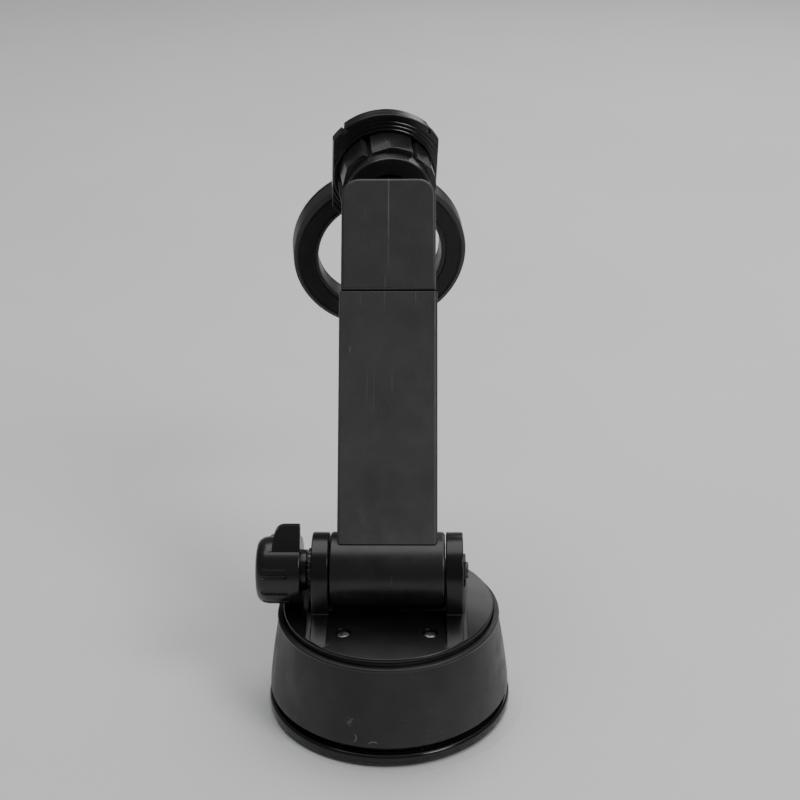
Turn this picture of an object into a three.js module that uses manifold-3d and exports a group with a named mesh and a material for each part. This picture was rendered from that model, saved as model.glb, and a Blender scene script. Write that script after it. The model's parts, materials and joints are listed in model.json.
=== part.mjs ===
// Car phone mount: a suction base with a lock lever, a tilting telescopic arm, and a ball joint
// that carries a mounting plate with a folding magnetic ring.
// Millimetres. The origin is the centre of the base's underside, +Z is up, +Y is the phone's side.
import * as THREE from "three";
import { mergeVertices } from "three/addons/utils/BufferGeometryUtils.js";
import Module from "manifold-3d";

const wasm = await Module();
wasm.setup();

// ---------------------------------------------------------------- driving dimensions

const fitGap = 0.3;
const holeGap = 0.25;

// Base, from the surface upwards.
const filmThickness = 0.3;
const filmRadius = 39.8;
const filmShift = 1.8;
const padThickness = 1.2;
const padRadius = 35.2;
const cupRadius = 37.3;
const cupRimHeight = 3.7;
const cupFloor = 1.9;
const skirtLift = 2.4;
const skirtHeight = 25;
const skirtBottomRadius = 36.9;
const skirtTopRadius = 33.8;
const skirtWall = 1.8;
const frameWall = 2;
const frameFootHeight = 2.6;
const lockRoom = 15.1;
const webThickness = 2;
const capSetback = 0.1;
const capEdge = 1.1;
const capSeam = 1.2;
const capRise = 1.7;
const capFloor = 2;
const spigotDepth = 2.4;

// Suction lock.
const stemRadius = 4;
const stemFootRadius = 8.1;
const stemFootHeight = 3;
const leverPinRadius = 1.5;
const leverWidth = 20;
const camRadius = 6.5;
const camOffset = 5;
const leverTravel = THREE.MathUtils.degToRad(30);
const leverRaised = THREE.MathUtils.degToRad(4);
const leverReach = 37;
const leverTab = 12;
const wearPlateThickness = 0.5;
const springWire = 0.8;
const springTurns = 3.5;

// Pivot between the ears.
const barrelRadius = 11.56;
const barrelClearance = 0.74;
const barrelMargin = 2.2;
const barrelScrewInset = 7.3;
const earThickness = 5.1;
const earRadius = 11.5;
const earFlare = 1.4;
const earShoulder = 8.6;
const boltRadius = 2.5;
const bushWall = 1.4;
const washerRadius = 6.6;
const frictionWasherRadius = 8;
const frictionWasherSeat = 1.1;
const boltHexRadius = 5;
const boltHeadHeight = 2.4;
const knobShank = 3.1;
const knobRadius = 10.2;
const knobLength = 13.4;
const knobWing = 15.5;
const knobWingLength = 8.6;
const knobWingThickness = 4.6;
const knobShankRadius = 6.2;
const knobCapRadius = 6.6;
const knobInsertRadius = 4.6;
const knobInsertLength = 4.6;
const knobGrooves = 9;
const knobGrooveRadius = 0.9;

// Arm.
const armLean = THREE.MathUtils.degToRad(32.34);
const armWidth = 30;
const headSetback = 0.5;
const armDepth = 18;
const armBack = 9.4;
const shellSplit = 6.4;
const armWall = 2;
const sleeveStart = 6.7;
const sleeveEnd = 84;
const seamGap = 0.4;
const headLength = 35;
const headCorner = 5.5;
const sliderClearance = 0.5;
const sliderWall = 1.8;
const sliderBossGap = 1.44;
const sliderGrip = 15.8;

// Ball joint, in the arm's frame.
const studOffset = -1;
const ballForward = 11.95;
const ballAbove = 3.1;
const ballRadius = 7.5;
const studRadius = 3.2;
const studThread = 2;
const chamferToBall = 14;
const linerWall = 0.5;
const socketWall = 2.6;
const socketLip = 5.5;

// Mounting plate and lock nut, in the head's frame (origin at the ball, +Y towards the phone).
const headTilt = THREE.MathUtils.degToRad(13.38);
const headTurn = THREE.MathUtils.degToRad(6.7);
const headRoll = THREE.MathUtils.degToRad(1.5);
const plateFromBall = 9;
const plateRadius = 21.2;
const plateFlat = 17;
const plateThickness = 5;
const plateSkin = 2.6;
const plateScrewCircle = 16.4;
const nutWall = 2.2;
const nutLobeHeight = 1.7;
const nutLobes = 6;
const nutGap = 0.8;
const nutFlange = 4.2;
const nutLip = 8.2;

// Magnetic ring.
const ringDrop = 34.6;
const ringOuter = 29.5;
const ringInner = 21;
const ringDepth = 8.8;
const ringWall = 1.5;
const ringBack = 1.8;
const ringCover = 2;
const yokeThickness = 0.6;
const magnetThickness = 1.8;
const magnetWidth = 3;
const magnetCount = 8;
const facePadThickness = 1;
const ringPinRadius = 1.2;
const knuckleRadius = 2.9;
const knuckleHalf = 7;
const lugWidth = 4;

// Fasteners.
const screwRadius = 1.1;
const screwHeadRadius = 2;
const screwHeadHeight = 1.3;

// ---------------------------------------------------------------- heights and places worked out

const filmTop = filmThickness;
const padTop = filmTop + padThickness;
const cupRimTop = filmTop + cupRimHeight;
const skirtBottom = cupRimTop + skirtLift;
const skirtTop = skirtBottom + skirtHeight;
const frameBottom = cupRimTop + fitGap;
const frameRadius = skirtTopRadius - skirtWall - fitGap;
const capRadius = frameRadius + 0.3 - capSetback;
const capBottom = skirtTop + capSeam;
const capTop = capBottom + capEdge;
const capUnderside = capBottom - capFloor;
const webHeight = capUnderside - lockRoom;
const webTop = webHeight + webThickness;
const wearTop = webTop + wearPlateThickness;
const stemFootBottom = padTop + cupFloor + 0.2;
const stemFootTop = stemFootBottom + stemFootHeight;
const cupBossTop = stemFootTop + fitGap + 1.3;
const camLow = camRadius - camOffset * Math.sin(leverTravel / 2);
const leverPinHeight = wearTop + fitGap + camLow;
const stemHeadHalf = 4;
const stemHeadTop = leverPinHeight + 2.8;
const slotHalf = leverWidth / 2 + 1.4;
const slotTop = skirtTop - 2.2;
const slotStart = 12;
const capScrewX = 12.8;
const capScrewY = -18.6;

const pivotHeight = capBottom + barrelRadius + barrelClearance;
const barrelHalf = armWidth / 2 + barrelMargin;
const bushRadius = boltRadius + holeGap + bushWall;
const earInner = barrelHalf + fitGap;
const earOuter = earInner + earThickness;
const boltHeadEnd = earOuter + boltHeadHeight / 2;
const knobFace = -(earOuter + knobShank + fitGap);
const knobEnd = knobFace - knobLength;

const armFront = armDepth - armBack;
const splitY = shellSplit - armBack;
const headWidth = armWidth - 2 * headSetback;
const cavityHalf = armWidth / 2 - armWall;
const cavityBack = armWall - armBack;
const cavityFront = armFront - armWall;
const headStart = sleeveEnd + seamGap;
const headEnd = headStart + headLength;
const sliderTop = headStart + sliderGrip;
const sliderHalf = cavityHalf - sliderClearance;
const sliderBack = cavityBack + sliderClearance;
const sliderFront = cavityFront - sliderClearance;
const ballAlong = headEnd + ballAbove;
const chamferSum = ballForward + ballAlong - chamferToBall * Math.SQRT2;
const sleeveScrewX = 8;
const sleeveScrewZ = barrelRadius + 4;
const sleeveBossRadius = 3;
const sliderBottom = sleeveScrewZ + sleeveBossRadius + sliderBossGap;
const headScrewX = 7.6;
const headScrewZ = headStart + sliderGrip / 2;

const linerOneInner = ballRadius + 0.2;
const linerOneOuter = linerOneInner + linerWall;
const linerTwoInner = linerOneOuter + 0.2;
const linerTwoOuter = linerTwoInner + linerWall;
const socketInner = linerTwoOuter + 0.2;
const socketOuter = socketInner + socketWall;
const nutRootRadius = socketOuter + nutWall;
const nutRadius = nutRootRadius + nutLobeHeight;
const plateBack = plateFromBall;
const plateFront = plateBack + plateThickness;
const plateSplit = plateBack + plateSkin;

const ringBackY = plateFront + seamGap;
const ringFrontY = ringBackY + ringDepth;
const ringPinY = ringBackY + knuckleRadius + 0.4;
const ringPinZ = ringOuter - ringDrop + knuckleRadius + 0.5;
const magnetMiddle = (ringOuter + ringInner) / 2;
const lugInner = knuckleHalf + fitGap;
const lugOuter = lugInner + lugWidth;

// ---------------------------------------------------------------- solids

// A closed three.js geometry as a manifold-3d solid.
function solid(geometry) {
  const bare = geometry.index ? geometry.toNonIndexed() : geometry.clone();
  bare.deleteAttribute("normal");
  bare.deleteAttribute("uv");
  const merged = mergeVertices(bare, 1e-5);
  const vertProperties = new Float32Array(merged.attributes.position.array);
  const triVerts = new Uint32Array(merged.index.array);
  return new wasm.Manifold(new wasm.Mesh({ numProp: 3, vertProperties, triVerts }));
}

function geometryOf(made) {
  const mesh = made.getMesh();
  const position = new THREE.BufferAttribute(new Float32Array(mesh.vertProperties), 3);
  const geometry = new THREE.BufferGeometry();
  geometry.setAttribute("position", position);
  geometry.setIndex(new THREE.BufferAttribute(new Uint32Array(mesh.triVerts), 1));
  geometry.computeVertexNormals();
  return geometry;
}

function join(first, ...others) {
  return others.reduce((sum, other) => sum.add(other), first);
}

function cut(body, ...tools) {
  return tools.reduce((rest, tool) => rest.subtract(tool), body);
}

function box([x0, x1], [y0, y1], [z0, z1]) {
  const geometry = new THREE.BoxGeometry(x1 - x0, y1 - y0, z1 - z0);
  geometry.translate((x0 + x1) / 2, (y0 + y1) / 2, (z0 + z1) / 2);
  return solid(geometry);
}

// A cylinder along an axis, between two places on it, centred at (a, b) in the other two directions.
function rod(axis, radius, from, to, a = 0, b = 0, sides = 24) {
  const geometry = new THREE.CylinderGeometry(radius, radius, to - from, sides);
  const middle = (from + to) / 2;
  if (axis === "x") {
    geometry.rotateZ(Math.PI / 2);
    geometry.translate(middle, a, b);
  } else if (axis === "y") {
    geometry.translate(a, middle, b);
  } else {
    geometry.rotateX(Math.PI / 2);
    geometry.translate(a, b, middle);
  }
  return solid(geometry);
}

function outline(points) {
  return points.map(([x, y]) => new THREE.Vector2(x, y));
}

// A profile of [radius, height] pairs, listed counter-clockwise, turned about Z.
function turned(points, sides = 48) {
  const geometry = new THREE.LatheGeometry(outline(points), sides);
  geometry.rotateX(Math.PI / 2);
  return solid(geometry);
}

// The same, turned about Y: the pairs are [radius, y].
function turnedY(points, sides = 40) {
  return solid(new THREE.LatheGeometry(outline(points), sides));
}

function ring(inner, outer, low, high) {
  return [[inner, low], [outer, low], [outer, high], [inner, high], [inner, low]];
}

function prism(shape, depth, curveSegments = 12) {
  return new THREE.ExtrudeGeometry(shape, { depth, bevelEnabled: false, curveSegments });
}

// A shape drawn in (y, z), extruded along X from x0 to x1.
function prismX(shape, x0, x1, curveSegments = 12) {
  const geometry = prism(shape, x1 - x0, curveSegments);
  geometry.rotateX(Math.PI / 2);
  geometry.rotateZ(Math.PI / 2);
  geometry.translate(x0, 0, 0);
  return solid(geometry);
}

// A shape drawn in (x, z), extruded along Y from y0 to y1.
function prismY(shape, y0, y1, curveSegments = 12) {
  const geometry = prism(shape, y1 - y0, curveSegments);
  geometry.rotateX(Math.PI / 2);
  geometry.translate(0, y1, 0);
  return solid(geometry);
}

function polygon(points) {
  return new THREE.Shape(outline(points));
}

function ball(radius, x, y, z) {
  const geometry = new THREE.SphereGeometry(radius, 24, 14);
  geometry.translate(x, y, z);
  return solid(geometry);
}

// ---------------------------------------------------------------- materials and nodes

function material(color, roughness, metalness = 0) {
  return new THREE.MeshStandardMaterial({ color, roughness, metalness });
}

const satin = material(0x26272a, 0.5);
const gloss = material(0x17181a, 0.3);
const rubber = material(0x121214, 0.55);
const gel = material(0x3a3c40, 0.35);
const clearFilm = material(0xdfe3e6, 0.15);
const nylon = material(0xc9c7c0, 0.5);
const steel = material(0xb8bbc0, 0.3, 1);

const mount = new THREE.Group();
const base = new THREE.Group();
const arm = new THREE.Group();
const head = new THREE.Group();
mount.add(base, arm, head);

arm.position.set(0, 0, pivotHeight);
arm.rotation.x = -armLean;
arm.updateMatrixWorld(true);
head.position.copy(arm.localToWorld(new THREE.Vector3(studOffset, ballForward, ballAlong)));
head.rotation.set(headTilt, headRoll, headTurn, "ZXY");

function node(group, name, made, look) {
  const mesh = new THREE.Mesh(geometryOf(made), look);
  mesh.name = name;
  group.add(mesh);
}

// A pan-head screw whose head ends at the place "top" on an axis and whose shank runs to "tip".
function screw(axis, top, tip, a, b) {
  const under = top > tip ? top - screwHeadHeight : top + screwHeadHeight;
  const headEnds = [Math.min(top, under), Math.max(top, under)];
  const shankEnds = [Math.min(tip, under), Math.max(tip, under)];
  const headSolid = rod(axis, screwHeadRadius, ...headEnds, a, b, 20);
  return headSolid.add(rod(axis, screwRadius, ...shankEnds, a, b, 12));
}

// The hole that a screw needs: a recess for its head and a bore for its shank.
function screwHole(axis, surface, top, tip, a, b) {
  const seat = top > tip ? top - screwHeadHeight - fitGap : top + screwHeadHeight + fitGap;
  const over = top > tip ? surface + 5 : surface - 5;
  const end = top > tip ? tip - fitGap : tip + fitGap;
  const recess = rod(axis, screwHeadRadius + holeGap, Math.min(seat, over), Math.max(seat, over), a, b, 20);
  return recess.add(rod(axis, screwRadius + holeGap, Math.min(end, seat), Math.max(end, seat), a, b, 12));
}

// ---------------------------------------------------------------- base

const sides = [["left", -1], ["right", 1]];

function capHeight(radius) {
  return capTop + capRise * (1 - (radius / capRadius) ** 2);
}

const capScrewTop = capHeight(Math.hypot(capScrewX, capScrewY)) - 0.5;
const capScrewTip = webTop + 5;

function makeFilmAndPad() {
  node(base, "protective_film", rod("z", filmRadius, 0, filmTop, filmShift, 0, 48), clearFilm);
  node(base, "gel_pad", rod("z", padRadius, filmTop, padTop, 0, 0, 48), gel);
}

function makeSuctionCup() {
  const lip = padRadius + fitGap;
  const neck = stemRadius + 0.4;
  const pocket = stemFootRadius + fitGap;
  const boss = pocket + 2.4;
  const profile = [
    [0, padTop],
    [lip, padTop],
    [lip, filmTop],
    [cupRadius - 0.8, filmTop],
    [cupRadius, filmTop + 0.9],
    [cupRadius, cupRimTop - 1.3],
    [cupRadius - 1.1, cupRimTop],
    [cupRadius - 3.4, cupRimTop],
    [cupRadius - 5.4, cupRimTop - 0.5],
    [boss, padTop + 3],
    [boss, cupBossTop],
    [neck, cupBossTop],
    [neck, stemFootTop + fitGap],
    [pocket, stemFootTop + fitGap],
    [pocket, padTop + cupFloor],
    [0, padTop + cupFloor],
  ];
  node(base, "suction_cup", turned(profile), rubber);
}

// The slot that the lever passes through, in the frame and in the skirt.
function leverSlot(from) {
  return box([-slotHalf, slotHalf], [from, skirtBottomRadius + 5], [-1, slotTop]);
}

function makeInnerFrame() {
  const inner = frameRadius - frameWall;
  const footTop = frameBottom + frameFootHeight;
  const slope = (skirtBottomRadius - skirtTopRadius) / skirtHeight;
  const footRadius = skirtBottomRadius - skirtWall - fitGap - slope * frameFootHeight;
  const profile = [
    [inner, frameBottom],
    [footRadius, frameBottom],
    [footRadius, footTop],
    [frameRadius, footTop],
    [frameRadius, capBottom - fitGap],
    [inner, capBottom - fitGap],
    [inner, webTop],
    [stemRadius + holeGap, webTop],
    [stemRadius + holeGap, webHeight],
    [inner, webHeight],
    [inner, frameBottom],
  ];
  let frame = cut(turned(profile), leverSlot(slotStart));
  for (const [, side] of sides) {
    const post = rod("z", 3.4, webHeight + 1, capUnderside - fitGap, side * capScrewX, capScrewY);
    const pilotTop = skirtTop + 5;
    const pilot = rod("z", screwRadius + 0.1, capScrewTip - 1, pilotTop, side * capScrewX, capScrewY, 12);
    frame = cut(join(frame, post), pilot);
  }
  node(base, "inner_frame", frame, satin);
}

function makeSkirt() {
  const bulge = 0.25;
  const middleRadius = (skirtBottomRadius + skirtTopRadius) / 2 + bulge;
  const middleHeight = (skirtBottom + skirtTop) / 2;
  const profile = [
    [skirtBottomRadius - skirtWall, skirtBottom],
    [skirtBottomRadius, skirtBottom],
    [middleRadius, middleHeight],
    [skirtTopRadius - 0.3, skirtTop - 1.4],
    [skirtTopRadius, skirtTop - 0.9],
    [skirtTopRadius - 0.2, skirtTop],
    [skirtTopRadius - skirtWall, skirtTop],
    [skirtBottomRadius - skirtWall, skirtBottom],
  ];
  node(base, "skirt", cut(turned(profile), leverSlot(0)), satin);
}

// One ear, drawn from the side: a round top, straight flanks and a foot that runs out to the cap's edge.
function earShape(footHalf) {
  const shoulder = pivotHeight - earShoulder;
  const shape = new THREE.Shape();
  shape.moveTo(-footHalf, capTop);
  shape.lineTo(-footHalf, capBottom + 0.2);
  shape.lineTo(footHalf, capBottom + 0.2);
  shape.lineTo(footHalf, capTop);
  shape.lineTo(earRadius, shoulder);
  shape.lineTo(earRadius, pivotHeight);
  shape.absarc(0, pivotHeight, earRadius, 0, Math.PI, false);
  shape.lineTo(-earRadius, shoulder);
  return shape;
}

function flareShape(footHalf) {
  const shoulder = pivotHeight - earShoulder;
  return polygon([
    [-footHalf, capTop],
    [-footHalf, capBottom + 0.2],
    [footHalf, capBottom + 0.2],
    [footHalf, capTop],
    [earRadius - 2, shoulder],
    [2 - earRadius, shoulder],
  ]);
}

function makeCap() {
  const spigot = frameRadius - frameWall - fitGap;
  const rings = [0, 0.4, 0.75, 0.97];
  const dome = rings.map((part) => [part * capRadius, capHeight(part * capRadius)]).reverse();
  const profile = [
    [0, capUnderside],
    [spigot - 2, capUnderside],
    [spigot - 2, capUnderside - spigotDepth],
    [spigot, capUnderside - spigotDepth],
    [spigot, capBottom],
    [capRadius, capBottom],
    [capRadius, capTop - 0.3],
    ...dome,
  ];
  const footHalf = Math.sqrt(capRadius ** 2 - earInner ** 2) - 0.6;
  const within = rod("z", capRadius - 0.3, capUnderside, pivotHeight + earRadius + 1, 0, 0, 48);
  let cap = turned(profile);
  for (const [, side] of sides) {
    const inner = side * earInner;
    const outer = side * earOuter;
    const flare = side * (earOuter + earFlare);
    const ear = prismX(earShape(footHalf), Math.min(inner, outer), Math.max(inner, outer));
    const foot = prismX(flareShape(footHalf - 3), Math.min(outer, flare), Math.max(outer, flare));
    cap = join(cap, ear.intersect(within), foot.intersect(within));
  }
  const hexFloor = boltHeadEnd - boltHeadHeight - fitGap;
  cap = cut(
    cap,
    rod("x", barrelRadius + barrelClearance, -earInner, earInner, 0, pivotHeight, 40),
    rod("x", boltRadius + holeGap, -earOuter - 2, earOuter + 2, 0, pivotHeight),
    rod("x", boltHexRadius + holeGap, hexFloor, earOuter + 3, 0, pivotHeight, 6),
  );
  for (const [name, side] of sides) {
    const at = [side * capScrewX, capScrewY];
    cap = cut(cap, screwHole("z", capTop, capScrewTop, capScrewTip, ...at));
    node(base, "cap_screw_" + name, screw("z", capScrewTop, capScrewTip, ...at), steel);
  }
  node(base, "clevis_cap", cap, satin);
}

function makeSuctionLock() {
  const shaft = join(
    rod("z", stemFootRadius, stemFootBottom, stemFootTop, 0, 0, 32),
    rod("z", stemRadius, stemFootTop - 1, wearTop, 0, 0),
    box([-stemHeadHalf, stemHeadHalf], [-2.8, 2.8], [wearTop - 0.2, stemHeadTop]),
  );
  const pinHole = rod("x", leverPinRadius + 0.1, -9, 9, 0, leverPinHeight, 20);
  node(base, "pull_stem", cut(shaft, pinHole), nylon);

  const wear = join(
    box([-slotHalf + 1, -stemRadius - 0.6], [-5, slotStart - 0.5], [webTop, wearTop]),
    box([stemRadius + 0.6, slotHalf - 1], [-5, slotStart - 0.5], [webTop, wearTop]),
    box([-slotHalf + 1, slotHalf - 1], [-8, -5], [webTop, wearTop]),
  );
  node(base, "cam_wear_plate", wear, steel);

  const pinHalf = leverWidth / 2 - 0.5;
  node(base, "lever_pin", rod("x", leverPinRadius, -pinHalf, pinHalf, 0, leverPinHeight, 20), steel);
  makeReturnSpring();
  makeLever();
}

function makeReturnSpring() {
  const radius = stemRadius + fitGap + springWire;
  const low = cupBossTop + 0.2 + springWire / 2;
  const high = webHeight - 0.2 - springWire / 2;
  class Helix extends THREE.Curve {
    getPoint(t, target = new THREE.Vector3()) {
      const angle = t * springTurns * 2 * Math.PI;
      return target.set(radius * Math.cos(angle), radius * Math.sin(angle), low + t * (high - low));
    }
  }
  const section = new THREE.Shape();
  section.absarc(0, 0, springWire / 2, 0, 2 * Math.PI, false);
  const steps = Math.round(springTurns * 12);
  const coil = new THREE.ExtrudeGeometry(section, { steps, extrudePath: new Helix(), curveSegments: 3 });
  node(base, "return_spring", solid(coil), steel);
}

// The lever is drawn along its own arm, from the pin outwards, and then raised to its rest angle.
function makeLever() {
  const rest = new THREE.Group();
  rest.position.set(0, 0, leverPinHeight);
  rest.rotation.x = leverRaised;
  base.add(rest);
  const camAngle = leverTravel / 2 - leverRaised;
  const tabTip = [leverReach + leverTab * Math.cos(leverTravel), leverTab * Math.sin(leverTravel)];
  const under = 1.4;
  const over = 2.2;
  const bar = polygon([
    [0, -under],
    [leverReach, -under],
    [tabTip[0] + 0.6, tabTip[1] - 1],
    [tabTip[0], tabTip[1] + 1.6],
    [leverReach - 1, over],
    [0, over],
  ]);
  const half = leverWidth / 2;
  const camCentre = [camOffset * Math.cos(camAngle), camOffset * Math.sin(camAngle)];
  const cam = rod("x", camRadius, -half, half, ...camCentre, 40);
  const boss = rod("x", leverPinRadius + 1.6, -half, half, 0, 0);
  const stemRoom = box([-stemHeadHalf - 0.4, stemHeadHalf + 0.4], [-12, 13], [-12, 12]);
  const camTop = box([-half - 1, half + 1], [-12, leverReach - 2], [leverPinRadius + 1.6, 12]);
  const bore = rod("x", leverPinRadius + 0.15, -half - 1, half + 1, 0, 0, 20);
  node(rest, "lever", cut(join(prismX(bar, -half, half), cam, boss), stemRoom, camTop, bore), gloss);
}

// ---------------------------------------------------------------- pivot and clamp knob

function makePivot() {
  const hex = rod("x", boltHexRadius, boltHeadEnd - boltHeadHeight, boltHeadEnd, 0, pivotHeight, 6);
  const boltTip = knobEnd + 3;
  const shank = rod("x", boltRadius, boltTip, boltHeadEnd - 0.5, 0, pivotHeight);
  node(base, "pivot_bolt", join(hex, shank), steel);

  const washerFace = -(earOuter + fitGap);
  const washer = rod("x", washerRadius, washerFace - 1, washerFace, 0, pivotHeight, 32);
  const washerHole = rod("x", boltRadius + holeGap, washerFace - 2, washerFace + 1, 0, pivotHeight);
  node(base, "pivot_washer", cut(washer, washerHole), steel);
  makeKnob(washerFace - 1 - fitGap);
}

// The clamp knob: a drum with grip grooves, one wing, a shank, a nut moulded in and an end cap.
function makeKnob(shankFace) {
  const insertEnd = knobEnd + 4.4;
  const capDepth = 1.6;
  const round = 2.2;
  const profile = [
    [0, 0],
    [knobRadius - 0.4, 0],
    [knobRadius, 0.4],
    [knobRadius, knobLength - round],
    [knobRadius - 0.7, knobLength - 0.8],
    [knobRadius - round, knobLength],
    [0, knobLength],
  ];
  const drumGeometry = new THREE.LatheGeometry(outline(profile), 32);
  drumGeometry.rotateZ(Math.PI / 2);
  drumGeometry.translate(knobFace, 0, pivotHeight);
  const wing = new THREE.Shape();
  wing.moveTo(-knobWingLength, 0);
  wing.lineTo(0, 0);
  wing.lineTo(0, knobWing);
  wing.lineTo(3 - knobWingLength, knobWing);
  wing.quadraticCurveTo(0.6 - knobWingLength, knobWing - 0.4, -knobWingLength, knobRadius - 1.5);
  const wingGeometry = prism(wing, knobWingThickness, 8);
  wingGeometry.rotateX(Math.PI / 2);
  wingGeometry.translate(knobFace, 1, pivotHeight);
  let knob = join(
    solid(drumGeometry),
    solid(wingGeometry),
    rod("x", knobShankRadius, knobFace - 0.2, shankFace, 0, pivotHeight, 32),
  );
  for (let index = 0; index < knobGrooves; index++) {
    const angle = THREE.MathUtils.degToRad(125 + index * 34);
    const y = (knobRadius + 0.35) * Math.cos(angle);
    const z = (knobRadius + 0.35) * Math.sin(angle);
    knob = cut(knob, rod("x", knobGrooveRadius, knobEnd - 1, knobFace - 4.2, y, pivotHeight + z, 8));
  }
  knob = cut(
    knob,
    rod("x", boltRadius + holeGap, knobEnd + 2, shankFace + 1, 0, pivotHeight),
    rod("x", knobInsertRadius, knobEnd - 1, insertEnd + knobInsertLength + 0.4, 0, pivotHeight, 6),
    rod("x", knobCapRadius, knobEnd - 1, knobEnd + capDepth, 0, pivotHeight, 32),
  );
  node(base, "knob", knob, gloss);
  const insert = cut(
    rod("x", knobInsertRadius - fitGap, insertEnd, insertEnd + knobInsertLength, 0, pivotHeight, 6),
    rod("x", boltRadius + 0.15, insertEnd - 1, insertEnd + 6, 0, pivotHeight),
  );
  node(base, "knob_insert", insert, steel);
  const capEnds = [knobEnd + 0.1, knobEnd + capDepth - 0.1];
  node(base, "knob_cap", rod("x", knobCapRadius - holeGap, ...capEnds, 0, pivotHeight, 32), satin);
}

// ---------------------------------------------------------------- arm

// The arm's frame is at the pivot, with +Z along the arm.

function makeSleeve() {
  const half = armWidth / 2;
  const washerSeat = barrelHalf - frictionWasherSeat;
  const rear = cut(
    box([-half, half], [-armBack, splitY], [sleeveStart, sleeveEnd]),
    box([-cavityHalf, cavityHalf], [cavityBack, armFront], [barrelRadius + 1, sleeveEnd + 1]),
    rod("x", barrelRadius + fitGap, -half - 1, half + 1, 0, 0, 40),
  );
  const bosses = sides.map(([, side]) =>
    rod("y", sleeveBossRadius, cavityBack - 0.5, splitY - 0.3, side * sleeveScrewX, sleeveScrewZ),
  );
  const frontBosses = sides.map(([, side]) =>
    rod("y", sleeveBossRadius, splitY + fitGap, cavityFront + 0.5, side * sleeveScrewX, sleeveScrewZ),
  );
  const front = join(
    cut(
      box([-half, half], [splitY + fitGap, armFront], [0, sleeveEnd]),
      box([-cavityHalf, cavityHalf], [-armBack, cavityFront], [barrelRadius + 0.6, sleeveEnd + 1]),
    ),
    rod("x", barrelRadius, -barrelHalf, barrelHalf, 0, 0, 40),
    ...frontBosses,
  );
  const bush = rod("x", bushRadius + 0.1, -barrelHalf - 1, barrelHalf + 1, 0, 0, 32);
  let frontCut = cut(
    front,
    bush,
    rod("x", frictionWasherRadius + fitGap, washerSeat, barrelHalf + 1, 0, 0, 32),
    rod("x", frictionWasherRadius + fitGap, -barrelHalf - 1, -washerSeat, 0, 0, 32),
  );
  let rearCut = join(rear, ...bosses);
  const screwTop = armFront - 0.4;
  const screwTip = 1.2 - armBack;
  for (const [name, side] of sides) {
    const at = [side * sleeveScrewX, sleeveScrewZ];
    const hole = screwHole("y", armFront, screwTop, screwTip, ...at);
    frontCut = cut(frontCut, hole);
    rearCut = cut(rearCut, hole);
    node(arm, "sleeve_screw_" + name, screw("y", screwTop, screwTip, ...at), steel);
    const setTop = -barrelRadius + 0.5;
    const setTip = -bushRadius - 1;
    const setAt = [side * (barrelHalf - barrelScrewInset), 0];
    frontCut = cut(frontCut, screwHole("z", -barrelRadius, setTop, setTip, ...setAt));
    node(arm, "barrel_screw_" + name, screw("z", setTop, setTip, ...setAt), steel);
    const washerLow = washerSeat + 0.1;
    const washerHigh = barrelHalf + 0.1;
    const washerEnds = side > 0 ? [washerLow, washerHigh] : [-washerHigh, -washerLow];
    const washer = cut(
      rod("x", frictionWasherRadius, ...washerEnds, 0, 0, 32),
      rod("x", boltRadius + 0.6, -barrelHalf - 1, barrelHalf + 1, 0, 0),
    );
    node(arm, "friction_washer_" + name, washer, nylon);
  }
  node(arm, "sleeve_front_shell", frontCut, satin);
  node(arm, "sleeve_rear_cover", rearCut, satin);
  const tube = cut(
    rod("x", bushRadius, -washerSeat + fitGap, washerSeat - fitGap, 0, 0, 32),
    rod("x", boltRadius + holeGap, -barrelHalf, barrelHalf, 0, 0),
  );
  node(arm, "barrel_bush", tube, steel);
}

function makeSlider() {
  const padDepth = 1.6;
  const padLow = sliderBottom + 4;
  const padHigh = padLow + 16;
  const leafPocket = 1.8;
  let bar = cut(
    box([-sliderHalf, sliderHalf], [sliderBack, sliderFront], [sliderBottom, sliderTop]),
    box(
      [sliderWall - sliderHalf + padDepth, sliderHalf - sliderWall - padDepth],
      [sliderBack + sliderWall, sliderFront - sliderWall - leafPocket],
      [sliderBottom - 1, headStart - 2],
    ),
    box([-4.4, 4.4], [sliderFront - leafPocket, sliderFront + 1], [padLow, padLow + 32]),
  );
  for (const [name, side] of sides) {
    const floor = sliderHalf - padDepth;
    const pocket = side > 0 ? [floor, sliderHalf + 1] : [-sliderHalf - 1, -floor];
    bar = cut(bar, box(pocket, [-3.4, 3.4], [padLow, padHigh]));
    bar = cut(bar, rod("y", screwRadius + holeGap, -armBack, armFront, side * headScrewX, headScrewZ, 12));
    const pad = side > 0 ? [floor + 0.2, sliderHalf + fitGap] : [-sliderHalf - fitGap, -floor - 0.2];
    node(arm, "friction_pad_" + name, box(pad, [-3.1, 3.1], [padLow + fitGap, padHigh - fitGap]), nylon);
  }
  node(arm, "slider_bar", bar, satin);

  const foot = sliderFront - leafPocket + 0.2;
  const leaf = polygon([
    [foot, padLow + 0.5],
    [foot + 0.5, padLow + 0.5],
    [sliderFront + 0.2, padLow + 16],
    [foot + 0.5, padLow + 31.5],
    [foot, padLow + 31.5],
    [sliderFront - 0.3, padLow + 16],
  ]);
  node(arm, "detent_leaf", prismX(leaf, -4, 4), steel);
}

function headOutline(half) {
  const shape = new THREE.Shape();
  shape.moveTo(-half, headStart);
  shape.lineTo(half, headStart);
  shape.lineTo(half, headEnd - headCorner);
  shape.absarc(half - headCorner, headEnd - headCorner, headCorner, 0, Math.PI / 2, false);
  shape.absarc(headCorner - half, headEnd - headCorner, headCorner, Math.PI / 2, Math.PI, false);
  return shape;
}

// A cylinder along the ball stud, by distance inwards from the chamfer's face (negative towards the ball).
function alongStud(radius, from, to, sideCount = 24) {
  const geometry = new THREE.CylinderGeometry(radius, radius, to - from, sideCount);
  geometry.translate(0, chamferToBall + (from + to) / 2, 0);
  geometry.rotateX(-3 * Math.PI / 4);
  geometry.translate(studOffset, ballForward, ballAlong);
  return solid(geometry);
}

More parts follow.
